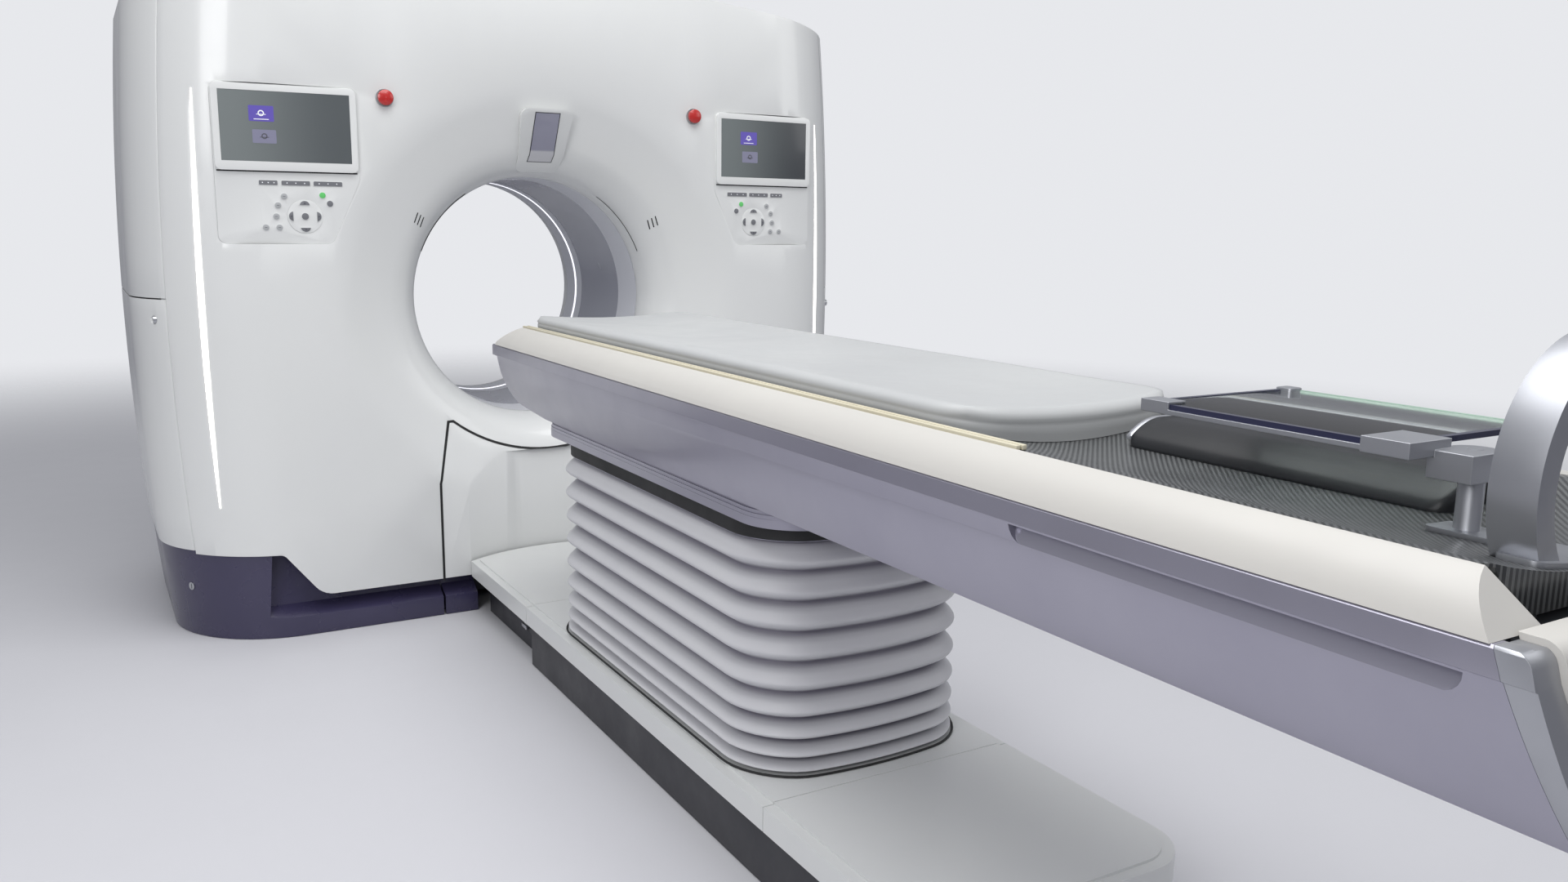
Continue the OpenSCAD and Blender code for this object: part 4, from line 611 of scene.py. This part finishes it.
def ring_skin(levels, loop=False):
    """Extrude one ring through levels of (grow, height)."""
    count = len(ring_plan(0))
    part = bmesh.new()
    bmesh.ops.create_circle(part, radius=1, segments=count)
    part.verts.ensure_lookup_table()
    number = part.verts.layers.int.new("number")
    groove = part.verts.layers.float.new("groove")
    for vert in part.verts:
        vert[number] = vert.index
    edges, moving = part.edges[:], part.verts[:]
    for step, (grow, height) in enumerate(levels):
        if step:
            made = bmesh.ops.extrude_edge_only(part, edges=edges)["geom"]
            edges = only(bmesh.types.BMEdge, made)
            moving = only(bmesh.types.BMVert, made)
        plan = ring_plan(grow)
        for vert in moving:
            x, y = plan[vert[number]]
            vert.co = (x, y + BELLOWS_MID_Y, height)
            # The groove value is the share of painted shade: full at the bottom of a groove, fading
            # out a little way up each slope.
            vert[groove] = max(0.0, 1 - (grow + GROOVE_SINK) / GROOVE_PAINTED_SHADE)
    if loop:
        opening = [edge for edge in part.edges if edge.is_boundary]
        bmesh.ops.bridge_loops(part, edges=opening)
    return part


shares = [min(1.0, 0.45 + 0.14 * k) for k in range(FOLDS)]
unit = (BELLOWS_TOP - BELLOWS_LOW) / sum(shares)
skin_levels = []
for fold, share in enumerate(shares):
    foot = BELLOWS_LOW + unit * sum(shares[:fold])
    skin_levels += [(FOLD_DEPTH * swell - GROOVE_SINK, foot + unit * share * at)
                    for at, swell in FOLD_FORM]
skin_levels.append((-GROOVE_SINK, BELLOWS_TOP))
print("folds from", round(unit * shares[0], 4), "to", round(unit * shares[-1], 4), "m")

# %% The sleeve itself, and what clamps it above and below
sleeve = piece("bellows_sleeve", ring_skin(skin_levels), "base", bellows_vinyl, sharp=70)
wall = sleeve.modifiers.new("wall", "SOLIDIFY")
wall.thickness = 0.0025
wall.offset = -1.0
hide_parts("bellows")
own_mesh(sleeve)

bead = [(0.0262 + 0.0026 * math.cos(a), BELLOWS_LOW + 0.0026 + 0.0024 * math.sin(a))
        for a in (math.radians(45 * k) for k in range(8))]
piece("bellows_foot_bead", ring_skin(bead, loop=True), "base", black_rubber, sharp=70)
# The black band at the sleeve's neck is partly the band that clamps the sleeve and partly painted
# shade: its black stands in for the shadow in the recess under the collar's flange.
neck = [(0.0062, 0.6665), (0.0078, 0.6685), (0.0078, 0.6965), (0.0062, 0.6985)]
piece("bellows_neck_painted_shade_band", ring_skin(neck, loop=True), "table_top", black_rubber)

# %% [markdown]
# ## What the screens show
# Both screens show the same two tiles at their left, a violet one with a pale sign and a grey one
# with a dark sign. A tile is a thin plate on the glass, so that it stays crisp close up.

# %% Tiles and signs on the screens
PANEL_X, PANEL_W, PANEL_FRONT, PANEL_Z = 0.597, 0.396, -0.590, 1.203
PANEL_TILT = math.radians(3)
GLASS = 0.0112
SIGN_LOW, SIGN_TOP = GLASS + 0.0003, GLASS + 0.0007
TILES = ((0.099, 0.347, 0.166, 0.391), (0.106, 0.286, 0.170, 0.324))
TILE_TOP = GLASS + 0.0004
TILE_CORNER = 0.003
WORD_LINE = (0.112, 0.352, 0.152, 0.354)
SIGN_HOLE = 0.62


def panel_frame(side):
    """A panel's face, with its origin at the lower left as one stands before it."""
    run = PANEL_W * math.cos(PANEL_TILT)
    back = PANEL_W * math.sin(PANEL_TILT)
    corner = (PANEL_X, PANEL_FRONT, PANEL_Z)
    if side < 0:
        corner = (-PANEL_X - run, PANEL_FRONT + back, PANEL_Z)
    return flat_frame(corner, (run, side * back, 0), (0, 0, 1))


def scan_sign(target, place, x, y, size, slot):
    """A ring with a table line through it."""
    hole = size * SIGN_HOLE
    ring = turned([(hole, SIGN_LOW), (size, SIGN_LOW), (size, SIGN_TOP), (hole, SIGN_TOP)],
                  steps=28)
    move(ring, (x, y, 0))
    stamp(target, ring, place, slot)
    stamp(target, plate((x - size * 1.5, y - size * 0.5, x + size * 1.5, y - size * 0.28),
                        SIGN_LOW, SIGN_TOP), place, slot)


for side, label in SIDES:
    place = panel_frame(side)
    mesh = bmesh.new()
    for slot, tile in enumerate(TILES):
        stamp(mesh, plate(tile, GLASS, TILE_TOP, TILE_CORNER), place, slot)
    scan_sign(mesh, place, 0.132, 0.370, 0.0085, 2)
    scan_sign(mesh, place, 0.138, 0.306, 0.0080, 3)
    stamp(mesh, plate(WORD_LINE, SIGN_LOW, SIGN_TOP), place, 2)
    piece("screen_tiles_" + label, mesh, "base", tile_violet, tile_grey, glyph_pale, glyph_dark)

# %% [markdown]
# ## Keys
# The keys are sealed under a printed film, so they have caps but no gaps: five pale keys on the
# outer side, a green and a grey one towards the bore, and three bars with dots under the display.
# The round pad in the middle does move, and its four segments ride on it.

# %% Key caps, bars, and a painted shadow under the display
OUTER_KEYS = ((0.214, 0.137), (0.232, 0.111), (0.238, 0.079), (0.268, 0.047), (0.231, 0.047))
GREEN_KEY, GREY_KEY = (0.108, 0.142), (0.088, 0.118)
KEY_RADIUS, DOT_RADIUS = 0.0088, 0.0017
KEY_BARS = ((0.050, 0.082), (0.140, 0.080), (0.229, 0.052))
BAR_LOW, BAR_TOP, BAR_MIDDLE = 0.169, 0.182, 0.1755
KEY_FACE = 0.0032
DISPLAY_PAINTED_SHADOW = (0.006, 0.2052, PANEL_W - 0.006, 0.2094)


def on_side(side, across):
    """The right panel's key field is laid out from the bore, and the left one mirrors it."""
    return across if side > 0 else PANEL_W - across


for side, label in SIDES:
    place = panel_frame(side)
    mesh = bmesh.new()
    for x, y in OUTER_KEYS:
        x = on_side(side, x)
        stamp(mesh, cap(x, y, KEY_RADIUS, KEY_FACE), place, 0)
        stamp(mesh, plate((x - 0.0035, y - 0.0006, x + 0.0035, y + 0.0006),
                          KEY_FACE + 0.0007, KEY_FACE + 0.0010), place, 3)
    for (x, y), slot in ((GREEN_KEY, 1), (GREY_KEY, 2)):
        stamp(mesh, cap(on_side(side, x), y, KEY_RADIUS, KEY_FACE), place, slot)
    for start, width in KEY_BARS:
        middle = on_side(side, start + width / 2)
        bar = (middle - width / 2 + 0.001, BAR_LOW, middle + width / 2 - 0.001, BAR_TOP)
        stamp(mesh, plate(bar, KEY_FACE - 0.0002, KEY_FACE + 0.0007, 0.0025), place, 2)
        for k in (-1, 0, 1):
            stamp(mesh, disc(middle + k * width * 0.3, BAR_MIDDLE, DOT_RADIUS, KEY_FACE + 0.0006,
                             KEY_FACE + 0.0010, sides=16), place, 4)
    piece("key_caps_" + label, mesh, "base", key_grey, glyph_green, key_dark, glyph_dark,
          glyph_pale)
    # A thin black strip just under the display is painted shadow: it stands in for the shade that
    # the raised display casts on the key field.
    painted_shadow = bmesh.new()
    stamp(painted_shadow, plate(DISPLAY_PAINTED_SHADOW, 0.0012, 0.0024), place)
    piece("display_painted_shadow_" + label, painted_shadow, "base", black_rubber)

# %% The direction pads' segments and arrows
PAD_X, PAD_Y, PAD_FACE = 0.159, 0.080, 0.0045
HUB_RADIUS = 0.0098
SEGMENT_RADIUS, SEGMENT_CUT, SEGMENT_AT = 0.0140, 0.0020, 0.031
ARROW_RADIUS, ARROW_AT = 0.0036, 0.038

for side, label in SIDES:
    centre = panel_frame(side) @ Matrix.Translation((on_side(side, PAD_X), PAD_Y, 0))
    mesh = bmesh.new()
    stamp(mesh, cap(0, 0, HUB_RADIUS, PAD_FACE), centre)
    for quarter in range(4):
        spun = centre @ Matrix.Rotation(math.radians(90 * quarter), 4, "Z")
        part = bmesh.new()
        bmesh.ops.create_circle(part, cap_ends=True, radius=SEGMENT_RADIUS, segments=36)
        cut(part, (0, SEGMENT_CUT, 0), (0, 1, 0), clear_inner=True)
        move(part, (0, SEGMENT_AT, PAD_FACE - 0.0002))
        stamp(mesh, raise_up(part, 0.0010, 0.0004), spun)
        arrow = bmesh.new()
        bmesh.ops.create_circle(arrow, cap_ends=True, radius=ARROW_RADIUS, segments=3)
        move(arrow, (0, ARROW_AT, PAD_FACE + 0.0007))
        stamp(mesh, raise_up(arrow, 0.0003), spun, 1)
    piece("pad_segments_" + label, mesh, "pad_" + label, key_dark, glyph_dark)

# %% [markdown]
# Each emergency stop is a red mushroom in a low, pale grey collar. The collar's raised ring is
# wider than the mushroom, so the pressed head passes inside it.

# %% Collars of the emergency stops
STOP_X, STOP_Z = 0.514, 1.636
COLLAR_FORM = ((0.0130, -0.004), (0.0270, -0.004), (0.0270, 0.0016), (0.0262, 0.0024),
               (0.0246, 0.0026), (0.0238, 0.0018), (0.0236, 0.0006), (0.0130, 0.0006))

for side, label in SIDES:
    place = flat_frame((side * STOP_X, PANEL_FRONT, STOP_Z), (1, 0, 0), (0, 0, 1))
    mesh = bmesh.new()
    stamp(mesh, turned(COLLAR_FORM), place)
    piece("estop_collar_" + label, mesh, "base", key_grey)

# %% [markdown]
# ## Small openings in the funnel
# Three slanted slits sit on each side of the bore, and a thin slot runs along the edge where the
# funnel meets the bore. The slits lie on a double curved face, so each one is laid on the cover
# by casting rays at it. The slot is turned about the bore's own axis.

# %% Lay a flat mark on the front cover
SINK = 0.0004
held = joined_copy("front_cover")
cover_faces = BVHTree.FromBMesh(held)
held.free()


def lay_on_cover(part, proud):
    """Points with a height of 0 sink just under the face, the others stand proud of it."""
    for vert in part.verts:
        start = Vector((vert.co.x, -1.2, vert.co.y))
        hit, normal, _, _ = cover_faces.ray_cast(start, Vector((0, 1, 0)))
        if normal.y > 0:
            normal = -normal
        vert.co = hit + normal * (proud if vert.co.z > 0 else -SINK)
    return part


BORE_Z = 1.023
SLIT_BOX, SLIT_CORNER = (-0.0017, -0.0170, 0.0017, 0.0170), 0.0016
SLIT_REACH, SLIT_PITCH = 0.4760, 0.0130
SLIT_ANGLE = math.radians(32.2)
SLIT_TURN = math.radians(20)

for side, label in SIDES:
    mesh = bmesh.new()
    for step in (-1, 0, 1):
        reach = SLIT_REACH + SLIT_PITCH * step
        part = outline(SLIT_BOX, SLIT_CORNER, 0.0, 3)
        cut(part, (0, 0, 0), (0, 1, 0))
        raise_up(part, 0.001)
        bmesh.ops.rotate(part, cent=(0, 0, 0), matrix=Matrix.Rotation(SLIT_TURN * side, 3, "Z"),
                         verts=part.verts[:])
        move(part, (side * reach * math.cos(SLIT_ANGLE), BORE_Z + reach * math.sin(SLIT_ANGLE), 0))
        stamp(mesh, lay_on_cover(part, 0.0005))
    piece("funnel_slits_" + label, mesh, "base", black_rubber)

# %% The arc slot on both sides
BORE_AXIS = Matrix.Translation((0, 0, BORE_Z)) @ Matrix.Rotation(math.radians(-90), 4, "X")
SLOT_FORM = ((0.4082, -0.4150), (0.4096, -0.4092), (0.4110, -0.4094), (0.4098, -0.4154))
ARC_START, ARC_SWEEP = 22, 34

for side, label in SIDES:
    start = ARC_START if side > 0 else 180 - ARC_START - ARC_SWEEP
    spun = BORE_AXIS @ Matrix.Rotation(math.radians(-start - ARC_SWEEP), 4, "Z")
    mesh = bmesh.new()
    stamp(mesh, turned(SLOT_FORM, math.radians(ARC_SWEEP), 30), spun)
    piece("funnel_arc_slot_" + label, mesh, "base", black_rubber)

# %% [markdown]
# ## Mattress
# The mattress is a foam slab in pale vinyl. It is lower in the middle than at its edges, where the
# foam is boxed in by a side band, and a seam runs round where the top panel meets the band. A slab
# is laid out on a grid, its corners are rounded in plan, and its surface is then crowned, with
# the faint dents of long use.

# %% A padded slab from a grid
def cushion(half_w, half_l, corner, cells_w, cells_l, levels):
    """A closed slab in plan, x and y true to size, z from 0 below to 1 above."""
    part = bmesh.new()
    bmesh.ops.create_grid(part, x_segments=cells_w, y_segments=cells_l, size=1)
    made = bmesh.ops.extrude_face_region(part, geom=part.faces[:], use_keep_orig=True)["geom"]
    top = only(bmesh.types.BMVert, made)
    bmesh.ops.translate(part, vec=(0, 0, 1), verts=top)
    uprights = [edge for edge in part.edges if abs(edge.verts[0].co.z - edge.verts[1].co.z) > 0.5]
    bmesh.ops.subdivide_edges(part, edges=uprights, cuts=levels, use_grid_fill=True)
    edge_depth = part.verts.layers.float.new("edge_depth")
    for vert in part.verts:
        x, y = vert.co.x * half_w, vert.co.y * half_l
        u = (abs(x) - (half_w - corner)) / corner
        v = (abs(y) - (half_l - corner)) / corner
        if u > 0 and v > 0:
            depth = corner * (1 - max(u, v))
            new_u = u * math.sqrt(1 - v * v / 2)
            new_v = v * math.sqrt(1 - u * u / 2)
            x = math.copysign(half_w - corner + corner * new_u, x)
            y = math.copysign(half_l - corner + corner * new_v, y)
        else:
            depth = min(half_w - abs(x), half_l - abs(y))
        vert[edge_depth] = max(0.0, depth)
        vert.co.x, vert.co.y = x, y
    return part, edge_depth


def rounded_drop(depth, radius):
    """How far a rounded edge has fallen at a given distance from the outline."""
    if depth >= radius:
        return 0.0
    return radius - math.sqrt(max(0.0, radius ** 2 - (radius - depth) ** 2))


CRADLE_LOW, CRADLE_DISH, CRADLE_HALF_W = 0.945, 0.031, 0.245
PAD_GAP = 0.0008


def cradle_top(x):
    """The height of the cradle's dished face."""
    return CRADLE_LOW + CRADLE_DISH * (x / CRADLE_HALF_W) ** 2


# %% The mattress
(pad_x0, pad_y0, _), (pad_x1, pad_y1, mattress_top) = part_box("mattress")
MATTRESS_MID = (pad_y0 + pad_y1) / 2
HALF_W, HALF_L = (pad_x1 - pad_x0) / 2 - 0.001, (pad_y1 - pad_y0) / 2 - 0.001
MATTRESS_CORNER = 0.09
CROWN_DISH, CROWN_HALF_W = 0.014, 0.24
EDGE_ROUND = 0.016
SEAM_DEPTH, SEAM_SINK, SEAM_WIDTH = 0.011, 0.0022, 0.0030
mesh, edge_depth = cushion(HALF_W, HALF_L, MATTRESS_CORNER, 36, 140, 5)
for vert in mesh.verts:
    depth, share = vert[edge_depth], vert.co.z
    x, y = vert.co.x, vert.co.y
    floor_z = cradle_top(x) + PAD_GAP
    crown = mattress_top - CROWN_DISH * (1 - (x / CROWN_HALF_W) ** 2)
    crown -= rounded_drop(depth, EDGE_ROUND)
    seat = wander(Vector((x * 5.0, y * 3.2, 3.0))) * 0.0030
    crease = wander(Vector((x * 16.0, y * 9.0, 8.0))) * 0.0011
    crown += (seat + crease) * min(1.0, depth / 0.05) - 0.0014
    if depth and share > 0.5:
        crown -= SEAM_SINK * math.exp(-((depth - SEAM_DEPTH) / SEAM_WIDTH) ** 2)
    if 0 < share < 1:
        tuck = 0.004 - 0.0030 * math.sin(math.pi * share)
        vert.co.x *= 1 - tuck / HALF_W
        vert.co.y *= 1 - tuck / HALF_L
    elif share == 0:
        vert.co.x *= 0.985
        vert.co.y *= 0.997
    vert.co.z = floor_z + (crown - floor_z) * share
    vert.co.y += MATTRESS_MID
cover = piece("mattress_cover", mesh, "cradle", mattress_vinyl, sharp=80)
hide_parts("mattress")

# %% [markdown]
# ## Foot pad
# The low pad at the foot end is black foam with a moulded skin. Its inner side slopes up from the
# cradle, a raised line runs round its top, and a pale grey lip edges the end that faces the
# mattress.

# %% The foot pad
(foot_x0, foot_y0, _), (foot_x1, foot_y1, foot_z1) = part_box("foot_pad")
PAD_MID = Vector(((foot_x0 + foot_x1) / 2, (foot_y0 + foot_y1) / 2, 0))
FOOT_HALF_W, FOOT_HALF_L = (foot_x1 - foot_x0) / 2 - 0.001, (foot_y1 - foot_y0) / 2 - 0.001
FOOT_CORNER = 0.028
SLOPE_RUN, SLOPE_LOW = 0.066, 0.955
LINE_DEPTH, LINE_RISE, LINE_WIDTH = 0.024, 0.0022, 0.0034
mesh, edge_depth = cushion(FOOT_HALF_W, FOOT_HALF_L, FOOT_CORNER, 40, 90, 5)


def pad_height(x, depth):
    """The pad's top: a slope from its inner side, a soft shoulder, and a rounded outline."""
    run = (x - foot_x0) / SLOPE_RUN
    rise = 1.0 if run > 1 else math.sin(math.pi / 2 * max(0.0, run)) ** 0.8
    top = SLOPE_LOW + (foot_z1 - 0.002 - SLOPE_LOW) * rise
    line = LINE_RISE * math.exp(-((depth - LINE_DEPTH) / LINE_WIDTH) ** 2)
    return top + line * (1 if run > 0.9 else 0.3) - rounded_drop(depth, 0.010)


for vert in mesh.verts:
    depth, share = vert[edge_depth], vert.co.z
    x, y = vert.co.x + PAD_MID.x, vert.co.y + PAD_MID.y
    floor_z = cradle_top(x) + PAD_GAP
    soft = wander(Vector((x * 14, y * 9, 1.0))) * 0.0007
    crown = max(floor_z + 0.003, pad_height(x, depth) + soft - 0.0008)
    vert.co.x, vert.co.y = x, y
    vert.co.z = floor_z + (crown - floor_z) * share
black_pad = piece("foot_pad_skin", mesh, "cradle", pad_black, sharp=80)
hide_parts("foot_pad")

# %% [markdown]
# The pale lip is a thin strip that follows the pad's section at its head end, so it is drawn up
# from the same height function.

# %% The pad's pale lip
mesh = bmesh.new()
bmesh.ops.create_grid(mesh, x_segments=40, y_segments=3, size=1)
bmesh.ops.extrude_face_region(mesh, geom=mesh.faces[:], use_keep_orig=True)
mesh.verts.ensure_lookup_table()
half = len(mesh.verts) // 2
for index, vert in enumerate(mesh.verts):
    x = PAD_MID.x + vert.co.x * ((foot_x1 - foot_x0) / 2 - 0.006)
    y = foot_y1 - 0.0075 + vert.co.y * 0.0050
    proud = 0.0012 if index >= half else -0.004
    swell = 0.0012 * (1 - vert.co.y ** 2)
    z = pad_height(x, 0.02) - 0.004 + 0.0022 + proud + (swell if index >= half else 0)
    vert.co = (x, y, max(cradle_top(x) + 0.002 + max(0.0, proud), z))
piece("foot_pad_lip", mesh, "cradle", satin_alloy, sharp=50)

# %% [markdown]
# ## Tray
# The tray's glass is framed along its near side and both ends by a printed dark border, its far
# edge shows the green of thick glass, and a small clip holds the far corner.

# %% The tray's border, far edge and far clip
(tray_x0, tray_y0, tray_z0), (tray_x1, tray_y1, tray_z1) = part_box("tray_glass")
BORDER_OUT, BORDER_WIDTH, BORDER_CORNER = 0.0012, 0.0085, 0.015
mesh = border((tray_x0 - BORDER_OUT, tray_y0 - BORDER_OUT, tray_x1 + BORDER_OUT,
               tray_y1 + BORDER_OUT), BORDER_WIDTH, tray_z0 - 0.0006, tray_z1 + 0.0006,
              BORDER_CORNER)
cut(mesh, (tray_x1 - 0.020, 0, 0), (1, 0, 0), clear_outer=True)
bmesh.ops.holes_fill(mesh, edges=mesh.edges[:], sides=0)
piece("tray_border", mesh, "tray", navy_print)
mesh = plate((tray_x1 - 0.0030, tray_y0 + 0.016, tray_x1 + 0.0008, tray_y1 - 0.016),
             tray_z0 + 0.0006, tray_z1 + 0.0004, 0.0, 0.0006)
piece("tray_far_edge", mesh, "tray", glass_edge)
mesh = plate((tray_x1 - 0.024, tray_y1 - 0.024, tray_x1 + 0.004, tray_y1 + 0.004),
             tray_z0 - 0.003, tray_z1 + 0.0035, 0.006, 0.0014)
piece("tray_far_clip", mesh, "tray", satin_alloy)

# %% [markdown]
# ## Window over the bore
# The camera looks out through a satin window that wraps over the nose of its housing. Round it
# runs a dark sealing line. The line is cut from a copy of the window's own outer faces.

# %% The dark line round the window
WINDOW_LINE = 0.0022
mesh = joined_copy("camera_window")
bmesh.ops.recalc_face_normals(mesh, faces=mesh.faces[:])
inward = [face for face in mesh.faces
          if abs(face.normal.x) > 0.7 or face.normal.y > 0.05
          or face.normal.z < -0.8 or face.normal.z > 0.9]
bmesh.ops.delete(mesh, geom=inward, context="FACES")
bmesh.ops.dissolve_limit(mesh, angle_limit=math.radians(2), verts=mesh.verts[:],
                         edges=mesh.edges[:])
ring = bmesh.ops.inset_region(mesh, faces=mesh.faces[:], thickness=WINDOW_LINE,
                              use_even_offset=True, use_boundary=True)["faces"]
bmesh.ops.delete(mesh, geom=[face for face in mesh.faces if face not in ring], context="FACES")
move(mesh, (0, -0.0004, 0.0002))
bmesh.ops.solidify(mesh, geom=mesh.faces[:], thickness=0.0012)
piece("window_line", mesh, "base", black_rubber)

# %% [markdown]
# ## Camera, light and floor
# The camera stands to the left of the table's foot end at chest height, and looks slightly down
# at the gantry. Its place and tilt were worked out from the gantry's known sizes.

# %% Camera
CAMERA_AT = Vector((-1.3815, -4.4465, 1.2829))
YAW, PITCH, ROLL = (math.radians(a) for a in (30.522, 10.197, 0.732))
forward = Vector((math.sin(YAW) * math.cos(PITCH), math.cos(YAW) * math.cos(PITCH),
                  -math.sin(PITCH)))
level = Vector((math.cos(YAW), -math.sin(YAW), 0.0))
upright = level.cross(forward)
right = math.cos(ROLL) * level + math.sin(ROLL) * upright
up = -math.sin(ROLL) * level + math.cos(ROLL) * upright
lens = bpy.data.cameras.new("camera")
lens.sensor_width = 36.0
lens.lens = 27.877
lens.clip_start = 0.02
camera = in_scene("camera", lens)
turn = Matrix((right, up, -forward)).transposed().to_4x4()
camera.matrix_world = Matrix.Translation(CAMERA_AT) @ turn
bpy.context.scene.camera = camera
print("camera at", [round(v, 3) for v in CAMERA_AT], "lens", round(lens.lens, 2))

# %% [markdown]
# Three large soft lamps stand in for a studio: one overhead, one from the front left, and a
# weaker one from the right. The room's own light falls off towards the floor, so that the
# undersides of the folds and the upper part of the funnel keep their shade.

# %% Lamps and world
BACKDROP = (0.80, 0.81, 0.84)
ROOM_LOW, ROOM_HIGH = (0.10, 0.10, 0.13), (0.52, 0.53, 0.55)


def soft_lamp(name, at, aim, width, height, power):
    data = bpy.data.lights.new(name, "AREA")
    data.shape = "RECTANGLE"
    data.size, data.size_y = width, height
    data.energy = power
    facing = (Vector(aim) - Vector(at)).to_track_quat("-Z", "Y").to_matrix().to_4x4()
    in_scene(name, data).matrix_world = Matrix.Translation(at) @ facing


soft_lamp("over", (-0.4, -2.6, 4.4), (-0.1, -1.9, 0.0), 3.6, 3.6, 140)
soft_lamp("front", (-4.4, -5.2, 3.0), (0.0, -1.4, 0.9), 2.6, 2.2, 90)
soft_lamp("side", (4.5, -3.8, 3.0), (0.0, -1.5, 0.8), 2.5, 2.5, 28)
print("lamps", {lamp.name: round(lamp.energy) for lamp in bpy.data.lights})

world = bpy.data.worlds.new("studio")
bpy.context.scene.world = world
world.use_nodes = True
tree = world.node_tree
back = tree.nodes["Background"]
way = add(tree, "ShaderNodeTexCoord")
split = add(tree, "ShaderNodeSeparateXYZ")
height = add(tree, "ShaderNodeMapRange", From_Min=-0.35, From_Max=0.80)
tree.links.new(way.outputs["Generated"], split.inputs[0])
tree.links.new(split.outputs["Z"], height.inputs["Value"])
room = add(tree, "ShaderNodeMix", data_type="RGBA", A=(*ROOM_LOW, 1.0), B=(*ROOM_HIGH, 1.0))
tree.links.new(height.outputs["Result"], room.inputs["Factor"])
rays = add(tree, "ShaderNodeLightPath")
seen = math_node(tree, "MAXIMUM", rays.outputs["Is Camera Ray"],
                 rays.outputs["Is Transmission Ray"])
shade = add(tree, "ShaderNodeMix", data_type="RGBA", B=(*BACKDROP, 1.0))
tree.links.new(room.outputs["Result"], shade.inputs["A"])
tree.links.new(seen, shade.inputs["Factor"])
tree.links.new(shade.outputs["Result"], back.inputs["Color"])
back.inputs["Strength"].default_value = 1.0
bpy.context.scene.view_settings.view_transform = "Standard"

# %% [markdown]
# The floor is a plain pale disc that fades into the backdrop with distance, so that no horizon
# cuts the picture, while it keeps the shadow of the scanner.

# %% Floor
FLOOR_RADIUS, FLOOR_DROP = 9.0, 0.0015
FADE_START, FADE_END = 3.2, 8.5
floor_pale = finish("floor_pale", (0.60, 0.60, 0.63), (0.55, 0.70), bump=0.0)
tree = floor_pale.node_tree
place = add(tree, "ShaderNodeTexCoord")
far = add(tree, "ShaderNodeVectorMath", operation="LENGTH")
fade = add(tree, "ShaderNodeMapRange", interpolation_type="SMOOTHSTEP", From_Min=FADE_START,
           From_Max=FADE_END, To_Min=1.0, To_Max=0.0)
tree.links.new(place.outputs["Object"], far.inputs[0])
tree.links.new(far.outputs["Value"], fade.inputs["Value"])
tree.links.new(fade.outputs["Result"], tree.nodes["Principled BSDF"].inputs["Alpha"])
floor_mesh = bmesh.new()
bmesh.ops.create_circle(floor_mesh, cap_ends=True, radius=FLOOR_RADIUS, segments=64)
move(floor_mesh, (0, 0, -FLOOR_DROP))
floor_data = bpy.data.meshes.new("floor")
floor_mesh.to_mesh(floor_data)
floor_mesh.free()
floor = in_scene("floor", floor_data)
floor_data.materials.append(floor_pale)
print("floor of", FLOOR_RADIUS, "m, fading from", FADE_START, "to", FADE_END, "m")
